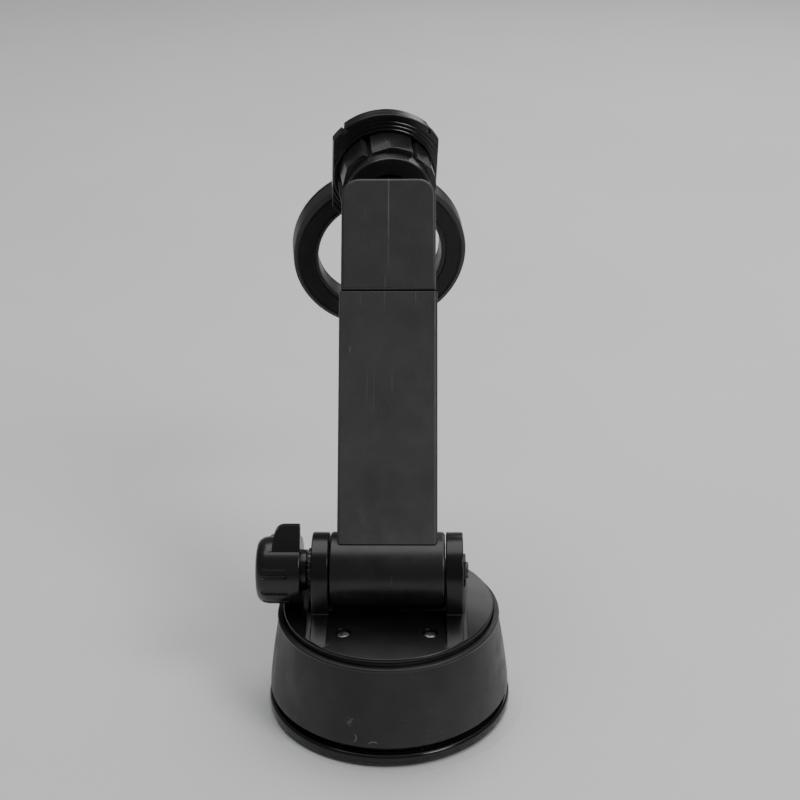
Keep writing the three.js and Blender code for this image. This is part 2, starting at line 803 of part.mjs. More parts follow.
function makeArmHead() {
  const half = headWidth / 2;
  const chamferTop = chamferSum + 40;
  const chamfer = prismX(
    polygon([
      [chamferSum - headEnd - 3, headEnd + 3],
      [armFront + 3, chamferSum - armFront - 3],
      [armFront + 3, chamferTop],
      [chamferSum - headEnd - 3, chamferTop],
    ]),
    -half - 1,
    half + 1,
  );
  const grip = box(
    [-sliderHalf - 0.2, sliderHalf + 0.2],
    [sliderBack - 0.2, sliderFront + 0.2],
    [headStart - 1, sliderTop + fitGap],
  );
  const wallDepth = 5;
  const nutHeight = 2.7;
  const nutRoom = alongStud(5, wallDepth, wallDepth + nutHeight + 2.4);
  const solidFront = prismY(headOutline(half), splitY + fitGap, armFront);
  let front = cut(solidFront, chamfer, grip, nutRoom, alongStud(studRadius + 0.2, -3, wallDepth + 1));
  let rear = cut(
    prismY(headOutline(half), -armBack, splitY),
    chamfer,
    grip,
    box([armWall - half, half - armWall], [cavityBack, splitY + 1], [sliderTop - 1, headEnd - armWall - 4]),
  );
  const screwTop = armFront - 0.4;
  const screwTip = 1.1 - armBack;
  for (const [name, side] of sides) {
    const at = [side * headScrewX, headScrewZ];
    const hole = screwHole("y", armFront, screwTop, screwTip, ...at);
    front = cut(front, hole);
    rear = cut(rear, hole);
    node(arm, "head_screw_" + name, screw("y", screwTop, screwTip, ...at), steel);
  }
  node(arm, "head_front_shell", front, satin);
  node(arm, "head_rear_cover", rear, satin);

  const stud = join(
    ball(ballRadius, studOffset, ballForward, ballAlong),
    alongStud(studRadius, -chamferToBall + 2, wallDepth - 0.5),
    alongStud(studRadius + 2, -1.5, -fitGap),
    alongStud(studThread, wallDepth - 1, wallDepth + nutHeight + 1),
  );
  node(arm, "ball_stud", stud, steel);
  const nut = cut(
    alongStud(4.2, wallDepth + fitGap, wallDepth + nutHeight, 6),
    alongStud(studThread + 0.1, wallDepth - 1, wallDepth + nutHeight + 2, 24),
  );
  node(arm, "stud_nut", nut, steel);
}

// ---------------------------------------------------------------- ball joint, plate and lock nut

function capOfSphere(inner, outer, edge) {
  const steps = 4;
  const points = [];
  const start = Math.acos(edge / outer);
  for (let index = 0; index <= steps; index++) {
    const angle = start * (1 - index / steps);
    points.push([outer * Math.sin(angle), outer * Math.cos(angle)]);
  }
  for (let index = 0; index <= steps; index++) {
    const angle = start * index / steps;
    points.push([inner * Math.sin(angle), inner * Math.cos(angle)]);
  }
  points[steps][0] = 0;
  points[steps + 1][0] = 0;
  points.push(points[0].slice());
  return turnedY(points, 24);
}

function makeLiners() {
  const edge = ballRadius * 0.42;
  node(head, "ball_liner_inner", capOfSphere(linerOneInner, linerOneOuter, edge), nylon);
  node(head, "ball_liner_outer", capOfSphere(linerTwoInner, linerTwoOuter, edge), nylon);
}

// The plate's outline: a disc with two flats.
function plateDisc(radius, low, high) {
  const disc = rod("y", radius, low, high, 0, 0, 48);
  return disc.intersect(box([-plateFlat, plateFlat], [low, high], [-radius, radius]));
}

function makePlate() {
  const screwTop = plateFront - 0.3;
  const screwTip = plateBack + 0.8;
  const socketEnd = plateBack + 0.5;
  const mouthFloor = 1.5 - socketLip;
  const mouth = [
    [0, -socketLip - 1],
    [socketInner - 1, -socketLip - 1],
    [socketInner - 2, mouthFloor],
    [0, mouthFloor],
  ];
  const solidRear = join(
    plateDisc(plateRadius, plateBack, plateSplit - fitGap / 2),
    turnedY([[0, -socketLip], [socketOuter, -socketLip], [socketOuter, socketEnd], [0, socketEnd]], 32),
    turnedY(ring(plateRadius - 4.4, plateRadius - 3.4, plateBack - 0.5, plateBack + 0.5), 32),
  );
  let rear = cut(solidRear, ball(socketInner, 0, 0, 0), turnedY(mouth, 32));
  for (const turn of [0, 1]) {
    const across = box([-0.6, 0.6], [-socketLip - 1, 2], [-socketOuter - 1, socketOuter + 1]);
    rear = cut(rear, across.rotate([0, 45 + turn * 90, 0]));
  }
  let front = plateDisc(plateRadius - 0.4, plateSplit + fitGap / 2, plateFront);
  const pinHole = rod("x", ringPinRadius + 0.15, -lugOuter - 1, lugOuter + 1, ringPinY, ringPinZ, 20);
  for (const [, side] of sides) {
    const ends = side > 0 ? [lugInner, lugOuter] : [-lugOuter, -lugInner];
    const lug = join(
      rod("x", knuckleRadius, ...ends, ringPinY, ringPinZ),
      box(ends, [plateFront - 0.5, ringPinY], [ringPinZ - knuckleRadius, ringPinZ + knuckleRadius]),
    );
    front = join(front, lug);
  }
  front = cut(front, pinHole);
  for (let index = 0; index < 4; index++) {
    const angle = THREE.MathUtils.degToRad(45 + index * 90);
    const at = [plateScrewCircle * Math.cos(angle), plateScrewCircle * Math.sin(angle)];
    const hole = screwHole("y", plateFront, screwTop, screwTip, ...at);
    front = cut(front, hole);
    rear = cut(rear, hole);
    node(head, "plate_screw_" + (index + 1), screw("y", screwTop, screwTip, ...at), steel);
  }
  node(head, "plate_rear_shell", rear, gloss);
  node(head, "plate_front_shell", front, gloss);
  const pinHalf = lugOuter - 0.4;
  node(head, "ring_pin", rod("x", ringPinRadius, -pinHalf, pinHalf, ringPinY, ringPinZ, 20), steel);
}

function makeLockNut() {
  const front = plateBack - nutGap;
  const back = -socketLip - 0.9;
  const lobeBack = back + nutFlange;
  const profile = [
    [nutLip, back],
    [nutRootRadius - 0.8, back],
    [nutRootRadius, back + 0.8],
    [nutRootRadius, front],
    [socketOuter + fitGap, front],
    [socketOuter + fitGap, -socketLip - fitGap],
    [nutLip, -socketLip - fitGap],
    [nutLip, back],
  ];
  let nut = turnedY(profile, 32);
  const lobeWidth = 2 * nutRadius * Math.sin(Math.PI / nutLobes) - 2.6;
  const slab = box([-lobeWidth / 2, lobeWidth / 2], [lobeBack, front], [nutRootRadius - 2, nutRadius]);
  const round = rod("y", nutRadius, lobeBack, front, 0, 0, 48);
  const lobe = cut(slab, rod("y", socketOuter + fitGap + 0.2, back, front + 1, 0, 0, 32)).intersect(round);
  for (let index = 0; index < nutLobes; index++)
    nut = join(nut, lobe.rotate([0, 4 + index * 360 / nutLobes, 0]));
  node(head, "lock_nut", nut, gloss);
}

// ---------------------------------------------------------------- magnetic ring

// Everything in the ring is turned about its own centre and then hung under the plate.
function atRing(made) {
  return made.translate([0, 0, -ringDrop]);
}

function makeRing() {
  const cover = ringFrontY - ringCover;
  const floor = ringBackY + ringBack;
  const yokeLow = floor + fitGap;
  const magnetLow = yokeLow + yokeThickness + fitGap;
  const housing = turnedY([
    [ringInner, ringBackY + 0.3],
    [ringInner + 0.5, ringBackY],
    [ringOuter - 0.8, ringBackY],
    [ringOuter, ringBackY + 0.8],
    [ringOuter, cover - fitGap],
    [ringOuter - ringWall, cover - fitGap],
    [ringOuter - ringWall, floor],
    [ringInner + ringWall, floor],
    [ringInner + ringWall, cover - fitGap],
    [ringInner, cover - fitGap],
    [ringInner, ringBackY + 0.3],
  ]);
  const inset = turnedY(ring(ringInner + 1.4, ringOuter - 1.7, ringBackY - 1, ringBackY + 0.8));
  const knuckle = join(
    rod("x", knuckleRadius, -knuckleHalf, knuckleHalf, ringPinY, ringPinZ),
    box(
      [-knuckleHalf, knuckleHalf],
      [ringPinY - knuckleRadius, ringPinY + knuckleRadius],
      [ringOuter - ringDrop - 2, ringPinZ],
    ).subtract(atRing(rod("y", ringOuter - 0.5, ringBackY - 3, ringFrontY + 3, 0, 0, 40))),
  );
  const pinHole = rod("x", ringPinRadius + 0.15, -knuckleHalf - 1, knuckleHalf + 1, ringPinY, ringPinZ, 20);
  node(head, "ring_rear_housing", cut(join(atRing(cut(housing, inset)), knuckle), pinHole), gloss);
  const panel = turnedY(ring(ringInner + 1.7, ringOuter - 2, ringBackY + 0.1, ringBackY + 0.5));
  node(head, "ring_rear_panel", atRing(panel), satin);

  const padInner = ringInner + 1.2;
  const padOuter = ringOuter - 1.2;
  const padLow = ringFrontY - facePadThickness;
  const face = cut(
    turnedY(ring(ringInner, ringOuter, cover, ringFrontY - fitGap)),
    turnedY(ring(padInner - fitGap, padOuter + fitGap, padLow - fitGap, ringFrontY + 1)),
  );
  node(head, "ring_front_cover", atRing(face), gloss);
  node(head, "ring_face_pad", atRing(turnedY(ring(padInner, padOuter, padLow, ringFrontY))), rubber);

  const inner = magnetMiddle - magnetWidth / 2;
  const outer = magnetMiddle + magnetWidth / 2;
  const yoke = turnedY(ring(inner - 0.5, outer + 0.5, yokeLow, yokeLow + yokeThickness), 32);
  node(head, "steel_yoke", atRing(yoke), steel);
  const gapAngle = THREE.MathUtils.degToRad(4);
  const pitch = 2 * Math.PI / magnetCount;
  for (let index = 0; index < magnetCount; index++) {
    const start = index * pitch + gapAngle / 2;
    const end = (index + 1) * pitch - gapAngle / 2;
    const segment = new THREE.Shape();
    segment.absarc(0, 0, outer, start, end, false);
    segment.absarc(0, 0, inner, end, start, true);
    const magnet = prismY(segment, magnetLow, magnetLow + magnetThickness, 6);
    node(head, "magnet_" + (index + 1), atRing(magnet), steel);
  }
}

makeFilmAndPad();
makeSuctionCup();
makeInnerFrame();
makeSkirt();
makeCap();
makeSuctionLock();
makePivot();
makeSleeve();
makeSlider();
makeArmHead();
makeLiners();
makePlate();
makeLockNut();
makeRing();

export default mount;
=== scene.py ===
"""The looks of a car phone mount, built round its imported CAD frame.

Pieces are drawn in millimetres in the local frame of the assembly they belong to (base, lever, arm or
head) and are placed in the row frame, in metres, by put().
"""

import json
import math

import bmesh
import bpy
from mathutils import Matrix, Vector


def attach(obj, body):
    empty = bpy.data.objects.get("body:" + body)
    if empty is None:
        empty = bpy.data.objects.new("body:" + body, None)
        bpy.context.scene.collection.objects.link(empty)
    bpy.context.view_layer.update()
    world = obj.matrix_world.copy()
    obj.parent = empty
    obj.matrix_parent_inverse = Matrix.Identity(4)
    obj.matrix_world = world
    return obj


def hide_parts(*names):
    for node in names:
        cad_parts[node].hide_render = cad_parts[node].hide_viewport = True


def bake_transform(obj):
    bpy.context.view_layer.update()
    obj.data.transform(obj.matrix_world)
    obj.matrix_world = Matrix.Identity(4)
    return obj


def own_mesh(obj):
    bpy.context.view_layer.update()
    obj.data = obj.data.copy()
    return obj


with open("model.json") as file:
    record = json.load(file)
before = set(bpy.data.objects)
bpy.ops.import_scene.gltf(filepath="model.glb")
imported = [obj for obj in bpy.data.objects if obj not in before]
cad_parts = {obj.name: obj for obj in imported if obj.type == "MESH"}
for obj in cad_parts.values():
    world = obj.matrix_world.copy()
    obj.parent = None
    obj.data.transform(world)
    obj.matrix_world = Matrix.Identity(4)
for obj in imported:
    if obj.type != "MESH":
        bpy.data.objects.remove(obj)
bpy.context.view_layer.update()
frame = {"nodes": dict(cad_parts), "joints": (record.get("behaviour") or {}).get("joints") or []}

MM = 0.001
ROUND_STEPS = 160
RING_STEPS = 200
NODES = frame["nodes"]
JOINTS = {joint["name"]: joint for joint in frame["joints"]}

# ------------------------------------------------------------------ local frames


def local_frame(origin, x, z):
    """A frame at origin whose X and Z axes are given."""
    x, z = Vector(x).normalized(), Vector(z).normalized()
    y = z.cross(x)
    made = Matrix((x, y, z)).transposed().to_4x4()
    made.translation = Vector(origin)
    return made


LEVER_RAISED = math.radians(4)
BASE = Matrix.Identity(4)
PIVOT = Matrix.Translation(JOINTS["arm_tilt"]["pos_m"])
ARM = local_frame(JOINTS["arm_tilt"]["pos_m"], (1, 0, 0), JOINTS["arm_extend"]["axis"])
HEAD = local_frame(JOINTS["ball_tilt"]["pos_m"], JOINTS["ball_tilt"]["axis"],
                   JOINTS["ball_swing"]["axis"])
LEVER = Matrix.Translation(JOINTS["lever_turn"]["pos_m"]) @ Matrix.Rotation(LEVER_RAISED, 4, "X")
FOLD = HEAD.inverted() @ Vector(JOINTS["ring_fold"]["pos_m"]) / MM
BALL = HEAD.translation

# Sizes that several pieces share, in millimetres.
BARREL = 11.56
BARREL_SEAT = 12.3
ARM_BACK, SPLIT, ARM_FRONT = -9.4, -3.0, 8.6
SPLIT_GAP = 0.3
SLEEVE_TOP, HEAD_LOW, HEAD_HIGH = 84.0, 84.4, 119.4
EDGE_ROUND = 1.1
RING_CENTRE = (0, -34.6)
SCREW_HEAD_HOLE = 2.25
SCREW_HOLE = 1.35
PIN_HOLE = 1.35
BOLT_HOLE = 2.75
HOLE_STEPS = 48
SLEEVE_SCREW = (8, 15.56)
HEAD_SCREW = (7.6, 92.3)
FAR = 20  # past everything that a hole has to go through


def span(node, place=BASE):
    """Lowest and highest corner of a CAD node in a local frame, in millimetres."""
    back = place.inverted()
    points = [back @ v.co / MM for v in NODES[node].data.vertices]
    low = Vector([min(p[i] for p in points) for i in range(3)])
    high = Vector([max(p[i] for p in points) for i in range(3)])
    return low, high


# ------------------------------------------------------------------ mesh tools


def made_object(bm):
    bmesh.ops.recalc_face_normals(bm, faces=bm.faces)
    mesh = bpy.data.meshes.new("part")
    bm.to_mesh(mesh)
    bm.free()
    obj = bpy.data.objects.new("part", mesh)
    bpy.context.scene.collection.objects.link(obj)
    return obj


def polar(radius, degrees, centre=(0, 0)):
    """A point on a circle."""
    angle = math.radians(degrees)
    return (centre[0] + radius * math.cos(angle), centre[1] + radius * math.sin(angle))


def arc(cx, cy, radius, start, end, steps=12):
    """Points on an arc, by angles in degrees."""
    return [polar(radius, start + (end - start) * i / steps, (cx, cy)) for i in range(steps + 1)]


def hexagon(radius, centre=(0, 0)):
    return [polar(radius, 60 * i, centre) for i in range(6)]


def filleted(corners, steps=5):
    """A closed outline from corners (x, y) or (x, y, radius), each rounded by its radius."""
    outline = []
    count = len(corners)
    for index, corner in enumerate(corners):
        here = Vector(corner[:2])
        radius = corner[2] if len(corner) > 2 else 0
        if radius <= 0:
            outline.append(tuple(here))
            continue
        before = (Vector(corners[index - 1][:2]) - here).normalized()
        after = (Vector(corners[(index + 1) % count][:2]) - here).normalized()
        half = before.angle(after) / 2
        run = radius / math.tan(half)
        centre = here + (before + after).normalized() * radius / math.sin(half)
        start, end = here + before * run - centre, here + after * run - centre
        turn = start.angle_signed(end)
        for step in range(steps + 1):
            spin = Matrix.Rotation(-turn * step / steps, 2)
            outline.append(tuple(centre + spin @ start))
    return outline


AXIS_PLACES = {
    "x": lambda across, up, along: (along, across, up),
    "y": lambda across, up, along: (across, along, up),
    "z": lambda across, up, along: (across, up, along),
}


def lathe(profile, axis="z", steps=ROUND_STEPS, centre=(0, 0)):
    """Turns a closed profile of (radius, height) round an axis through centre."""
    bm = bmesh.new()
    place = AXIS_PLACES[axis]
    rings = []
    for radius, height in profile:
        if radius < 1e-6:
            rings.append([bm.verts.new(place(centre[0], centre[1], height))])
            continue
        ring = []
        for step in range(steps):
            angle = 2 * math.pi * step / steps
            across = centre[0] + radius * math.cos(angle)
            up = centre[1] + radius * math.sin(angle)
            ring.append(bm.verts.new(place(across, up, height)))
        rings.append(ring)
    for low, high in zip(rings, rings[1:] + rings[:1]):
        if len(low) == 1 and len(high) == 1:
            continue
        for step in range(steps):
            after = (step + 1) % steps
            turns = ((low, step), (low, after), (high, after), (high, step))
            corners = [ring[spot % len(ring)] for ring, spot in turns]
            bm.faces.new(list(dict.fromkeys(corners)))
    return made_object(bm)


def extruded(outline, low, high, axis="y", edge=0.3, segments=3):
    """A prism of an outline between two places on an axis, with rounded cap edges."""
    bm = bmesh.new()
    place = AXIS_PLACES[axis]
    bottom = [bm.verts.new(place(x, y, low)) for x, y in outline]
    top = [bm.verts.new(place(x, y, high)) for x, y in outline]
    count = len(outline)
    caps = [bm.faces.new(bottom), bm.faces.new(top)]
    for index in range(count):
        after = (index + 1) % count
        bm.faces.new([bottom[index], bottom[after], top[after], top[index]])
    bmesh.ops.recalc_face_normals(bm, faces=bm.faces)
    if edge > 0:
        rims = [e for cap in caps for e in cap.edges]
        bmesh.ops.bevel(bm, geom=rims, offset=edge, segments=segments, profile=0.5, affect="EDGES",
                        clamp_overlap=True)
    return made_object(bm)


def rod(axis, radius, low, high, centre=(0, 0), edge=0.0, steps=64):
    """A cylinder along an axis, with rounded ends where edge is given."""
    if edge > 0:
        profile = [(0, low), *arc(radius - edge, low + edge, edge, -90, 0, 4),
                   *arc(radius - edge, high - edge, edge, 0, 90, 4), (0, high)]
    else:
        profile = [(0, low), (radius, low), (radius, high), (0, high)]
    return lathe(profile, axis, steps, centre)


def rectangle(across, up, corner=0.0, steps=5):
    """An outline between two pairs of limits, with rounded corners."""
    places = ((0, 0), (1, 0), (1, 1), (0, 1))
    return filleted([(across[i], up[j], corner) for i, j in places], steps)


def block(x, y, z, edge=0.0, corner=0.0, axis="y"):
    """A box between three pairs of limits; its corners along the axis are rounded by corner."""
    across, up, along = {"x": (y, z, x), "y": (x, z, y), "z": (x, y, z)}[axis]
    return extruded(rectangle(across, up, corner), along[0], along[1], axis, edge)


def boolean(target, tool, operation):
    modifier = target.modifiers.new("cut", "BOOLEAN")
    modifier.operation = operation
    modifier.solver = "EXACT"
    modifier.object = tool
    graph = bpy.context.evaluated_depsgraph_get()
    mesh = bpy.data.meshes.new_from_object(target.evaluated_get(graph))
    target.modifiers.clear()
    old = target.data
    target.data = mesh
    bpy.data.meshes.remove(old)
    bpy.data.objects.remove(tool)
    return target


def cut(target, *tools):
    for tool in tools:
        boolean(target, tool, "DIFFERENCE")
    return target


def joined(target, *others):
    for other in others:
        boolean(target, other, "UNION")
    return target


def turned(obj, axis, degrees):
    obj.data.transform(Matrix.Rotation(math.radians(degrees), 4, axis))
    return obj


def put(obj, name, place, body, slot, material, *nodes, smooth=32):
    """Scales a drawn piece to metres, places it, smooths it and hands it to the frame."""
    bm = bmesh.new()
    bm.from_mesh(obj.data)
    bmesh.ops.remove_doubles(bm, verts=bm.verts, dist=1e-4)
    bmesh.ops.dissolve_degenerate(bm, edges=bm.edges, dist=1e-4)
    bm.to_mesh(obj.data)
    bm.free()
    obj.data.transform(Matrix.Scale(MM, 4))
    obj.data.materials.clear()
    obj.data.materials.append(material)
    obj.data.shade_smooth()
    obj.data.set_sharp_from_angle(angle=math.radians(smooth))
    flat = obj.modifiers.new("flat_faces", "WEIGHTED_NORMAL")
    flat.keep_sharp = True
    obj.name = name
    obj.data.name = name
    if place == HEAD:
        obj.data.transform(place)
    else:
        obj.matrix_world = place
    if body:
        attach(obj, body)
    if nodes:
        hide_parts(*nodes)
    return obj


# ------------------------------------------------------------------ materials


class Shader:
    """A Principled material and short ways to add its nodes."""

    def __init__(self, name):
        self.material = bpy.data.materials.new(name)
        self.material.use_nodes = True
        self.tree = self.material.node_tree
        self.surface = self.tree.nodes["Principled BSDF"]
        self.coordinates = self.add("ShaderNodeTexCoord").outputs["Object"]

    def add(self, kind, **settings):
        made = self.tree.nodes.new(kind)
        for key, value in settings.items():
            setattr(made, key, value)
        return made

    def link(self, source, target):
        self.tree.links.new(source, target)

    def set(self, **values):
        for key, value in values.items():
            self.surface.inputs[key.replace("_", " ")].default_value = value

    def noise(self, scale, detail=3.0, stretch=(1, 1, 1), roughness=0.55):
        mapping = self.add("ShaderNodeMapping")
        mapping.inputs["Scale"].default_value = stretch
        self.link(self.coordinates, mapping.inputs["Vector"])
        made = self.add("ShaderNodeTexNoise")
        made.inputs["Scale"].default_value = scale
        made.inputs["Detail"].default_value = detail
        made.inputs["Roughness"].default_value = roughness
        self.link(mapping.outputs["Vector"], made.inputs["Vector"])
        return made.outputs["Fac"]

    def ramp(self, source, low, high, low_value=0.0, high_value=1.0):
        made = self.add("ShaderNodeMapRange")
        made.interpolation_type = "SMOOTHSTEP"
        limits = {"From Min": low, "From Max": high, "To Min": low_value, "To Max": high_value}
        for key, value in limits.items():
            made.inputs[key].default_value = value
        self.link(source, made.inputs["Value"])
        return made.outputs["Result"]

    def maths(self, operation, first, second):
        made = self.add("ShaderNodeMath", operation=operation)
        for socket, value in zip(made.inputs, (first, second)):
            if isinstance(value, (int, float)):
                socket.default_value = value
            else:
                self.link(value, socket)
        return made.outputs["Value"]

    def times(self, *factors):
        """The product of two or more values."""
        product = factors[0]
        for factor in factors[1:]:
            product = self.maths("MULTIPLY", product, factor)
        return product

    def mix(self, factor, first, second):
        made = self.add("ShaderNodeMix", data_type="RGBA")
        self.link(factor, made.inputs["Factor"])
        for socket, value in ((made.inputs["A"], first), (made.inputs["B"], second)):
            if isinstance(value, tuple):
                socket.default_value = (*value, 1)
            else:
                self.link(value, socket)
        return made.outputs["Result"]

    def distance(self, centre):
        """Distance from a point, given in millimetres."""
        made = self.add("ShaderNodeVectorMath", operation="DISTANCE")
        self.link(self.coordinates, made.inputs[0])
        made.inputs[1].default_value = [c * MM for c in centre]
        return made.outputs["Value"]

    def near(self, centre, radius):
        """1 round a point and 0 beyond a radius from it, in millimetres."""
        return self.ramp(self.distance(centre), radius * MM, 0.4 * radius * MM)

    def hair_arc(self, centre, radius, width, window, reach):
        """A thin curved mark: part of a sphere's edge, seen only near the window's centre."""
        away = self.maths("ABSOLUTE", self.maths("SUBTRACT", self.distance(centre), radius * MM), 0)
        return self.times(self.ramp(away, width * MM, 0.2 * width * MM), self.near(window, reach))

    def stripe(self, axis, middle, half):
        """A soft line across an axis, in millimetres."""
        parts = self.add("ShaderNodeSeparateXYZ")
        self.link(self.coordinates, parts.inputs[0])
        away = self.maths("ABSOLUTE", self.maths("SUBTRACT", parts.outputs[axis], middle * MM), 0)
        return self.ramp(away, half * MM, 0.3 * half * MM)

    def bump(self, height, strength, distance, before=None):
        made = self.add("ShaderNodeBump")
        made.inputs["Strength"].default_value = strength
        made.inputs["Distance"].default_value = distance
        self.link(height, made.inputs["Height"])
        if before:
            self.link(before, made.inputs["Normal"])
        return made.outputs["Normal"]


def grey(level, tint=0.0002):
    """A neutral tone, a touch cooler in blue."""
    return (level, level, level + tint)


# Noise scales, in features across a metre.
BLOTCH, PATCH, STREAK, DUST, UNEVEN, GRAIN = 55, 30, 120, 1500, 140, 2600
# How far fine relief stands out, in metres.
GRAIN_DEPTH, SCRATCH_DEPTH, TURNING_DEPTH = 0.00012, 0.0001, 0.00006
PEEL_DEPTH, RIPPLE_DEPTH = 0.0001, 0.0002
MARK_TONE = (0.3, 0.3, 0.3)
LINT_TONE = (0.35, 0.35, 0.34)


def plastic(name, dark, light, roughness, grain, scratch_axis=2, scratches=0.5, wear=0.5, spread=0.1,
            ior=1.5, marks=None):
    """Moulded plastic: blotchy tone, grain, scratches along an axis, pale dust and rubbed edges."""
    shader = Shader(name)
    blotch = shader.noise(BLOTCH, 4)
    tone = shader.mix(shader.ramp(blotch, 0.35, 0.7), dark, light)
    stretch = [9.0, 9.0, 9.0]
    stretch[scratch_axis] = 0.35
    streaks = shader.ramp(shader.noise(STREAK, 2, tuple(stretch), 0.7), 0.66, 0.72)
    patches = shader.ramp(shader.noise(PATCH, 2), 0.5, 0.62)
    scratch = shader.times(streaks, patches, scratches)
    pale = tuple(min(1.0, 2.6 * c + 0.02) for c in light)
    tone = shader.mix(scratch, tone, pale)
    dust = shader.times(shader.ramp(shader.noise(DUST, 2), 0.7, 0.78), 0.35)
    tone = shader.mix(dust, tone, pale)
    if marks:
        tone = shader.mix(marks(shader), tone, MARK_TONE)
    rim = shader.ramp(shader.add("ShaderNodeNewGeometry").outputs["Pointiness"], 0.52, 0.62)
    rubbed = shader.times(rim, shader.times(blotch, wear))
    tone = shader.mix(rubbed, tone, pale)
    shader.link(tone, shader.surface.inputs["Base Color"])
    uneven = shader.ramp(shader.noise(UNEVEN, 3), 0.3, 0.7, roughness - spread / 2,
                         roughness + spread / 2)
    rough = shader.maths("ADD", uneven, shader.times(scratch, 0.2))
    shader.link(rough, shader.surface.inputs["Roughness"])
    fine = shader.bump(shader.noise(GRAIN, 2), grain, GRAIN_DEPTH)
    normal = shader.bump(scratch, 0.15, SCRATCH_DEPTH, fine)
    shader.link(normal, shader.surface.inputs["Normal"])
    shader.set(IOR=ior)
    return shader.material


def flow_line(shader):
    """The faint line that moulding leaves down the middle of the arm's head."""
    line = shader.times(shader.stripe("X", 0, 0.28), shader.stripe("Z", 112, 24))
    broken = shader.ramp(shader.noise(260, 3, (1, 1, 0.4)), 0.35, 0.6, 0.15, 1.0)
    return shader.times(line, broken, 0.3)


def sleeve_scuffs(shader):
    """Scratches along the sleeve half-way up, a nick near its left edge and rubbed patches low down."""
    lines = shader.ramp(shader.noise(1500, 2, (1, 1, 0.04)), 0.56, 0.66)
    along = shader.times(lines, shader.near((-1, ARM_BACK, 54), 9), 0.13)
    nick = shader.hair_arc((-13.2, ARM_BACK, 66), 1.8, 0.22, (-11.4, ARM_BACK, 66), 1.5)
    patch = shader.ramp(shader.noise(170, 4), 0.4, 0.75)
    rubbed = shader.times(patch, shader.near((-3, ARM_BACK, 15), 13), 0.08)
    return shader.maths("MAXIMUM", shader.maths("MAXIMUM", along, rubbed), shader.times(nick, 0.3))


def skirt_scuffs(shader):
    """Two short curved scuffs and a pale smudge, low on the skirt."""
    first = shader.hair_arc((-10.4, -35.4, 9.4), 1.7, 0.2, (-8.8, -35.9, 9.2), 1.9)
    second = shader.hair_arc((-3.6, -36.3, 6.6), 2.0, 0.2, (-3.9, -36.6, 8.6), 1.9)
    smudge = shader.times(shader.near((-10.6, -35.2, 14.4), 2.2),
                          shader.ramp(shader.noise(900, 3), 0.4, 0.7, 0, 0.35))
    arcs = shader.times(shader.maths("ADD", first, second), 0.7)
    return shader.maths("MAXIMUM", arcs, smudge)


def metal(name, dark, light, roughness):
    """Plated or blackened steel with fine marks and uneven polish."""
    shader = Shader(name)
    marks = shader.noise(420, 3)
    tone = shader.mix(shader.ramp(shader.noise(260, 3), 0.35, 0.7), dark, light)
    shader.link(tone, shader.surface.inputs["Base Color"])
    polish = shader.ramp(marks, 0.3, 0.7, roughness - 0.08, roughness + 0.12)
    shader.link(polish, shader.surface.inputs["Roughness"])
    shader.link(shader.bump(marks, 0.25, TURNING_DEPTH), shader.surface.inputs["Normal"])
    shader.set(Metallic=1.0)
    return shader.material


def rubber(name, dark, light, roughness):
    """Rubber or gel: smooth, with soft blotches, lint specks and a slight orange peel."""
    shader = Shader(name)
    tone = shader.mix(shader.ramp(shader.noise(90, 3), 0.35, 0.7), dark, light)
    lint = shader.times(shader.ramp(shader.noise(900, 2), 0.69, 0.76), 0.3)
    tone = shader.mix(lint, tone, LINT_TONE)
    shader.link(tone, shader.surface.inputs["Base Color"])
    shine = shader.ramp(shader.noise(200, 3), 0.3, 0.7, roughness - 0.05, roughness + 0.08)
    shader.link(shine, shader.surface.inputs["Roughness"])
    shader.link(shader.bump(shader.noise(700, 2), 0.12, PEEL_DEPTH), shader.surface.inputs["Normal"])
    return shader.material


def film():
    """Clear release film: a little cloudy, with faint ripples."""
    shader = Shader("clear_film")
    cloud = shader.ramp(shader.noise(45, 3), 0.3, 0.75)
    tone = shader.mix(cloud, (0.97, 0.975, 0.98), (0.99, 0.99, 0.99))
    shader.link(tone, shader.surface.inputs["Base Color"])
    shader.link(shader.ramp(cloud, 0, 1, 0.06, 0.16), shader.surface.inputs["Roughness"])
    shader.link(shader.bump(shader.noise(25, 2), 0.2, RIPPLE_DEPTH), shader.surface.inputs["Normal"])
    shader.set(Transmission_Weight=0.2, IOR=1.3, Alpha=0.14)
    return shader.material


def satin(name, dark, light, grain, **settings):
    """Satin black plastic."""
    return plastic(name, grey(dark, 0.0005), grey(light, 0.0005), 0.40, grain, **settings)


def gloss(name, dark, light, roughness, grain=0.12, scratches=0.3, scratch_axis=0, **settings):
    """Semi-gloss black plastic."""
    return plastic(name, grey(dark), grey(light), roughness, grain, scratches=scratches,
                   scratch_axis=scratch_axis, **settings)


SATIN = satin("satin_black", 0.034, 0.042, 0.3, scratches=0.8, spread=0.08)
SATIN_BASE = satin("satin_black_base", 0.017, 0.026, 0.35, scratch_axis=0, spread=0.14)
SATIN_HEAD = satin("satin_black_head", 0.034, 0.044, 0.3, spread=0.09, marks=flow_line)
SATIN_SLEEVE = satin("satin_black_sleeve", 0.034, 0.042, 0.3, spread=0.09, marks=sleeve_scuffs)
SATIN_SKIRT = satin("satin_black_skirt", 0.017, 0.026, 0.35, scratch_axis=0, spread=0.14, ior=1.45,
                    marks=skirt_scuffs)
GLOSS = gloss("gloss_black", 0.008, 0.013, 0.25, spread=0.05)
GLOSS_CAP = gloss("gloss_black_cap", 0.004, 0.007, 0.25, spread=0.04, ior=1.46)
GLOSS_BARREL = gloss("gloss_black_barrel", 0.008, 0.015, 0.33, grain=0.2, scratches=0.6, scratch_axis=2,
                     spread=0.08)
GLOSS_HEAD = gloss("gloss_black_head", 0.006, 0.010, 0.22, spread=0.06)
GLOSS_NUT = gloss("gloss_black_nut", 0.011, 0.019, 0.25, spread=0.06)
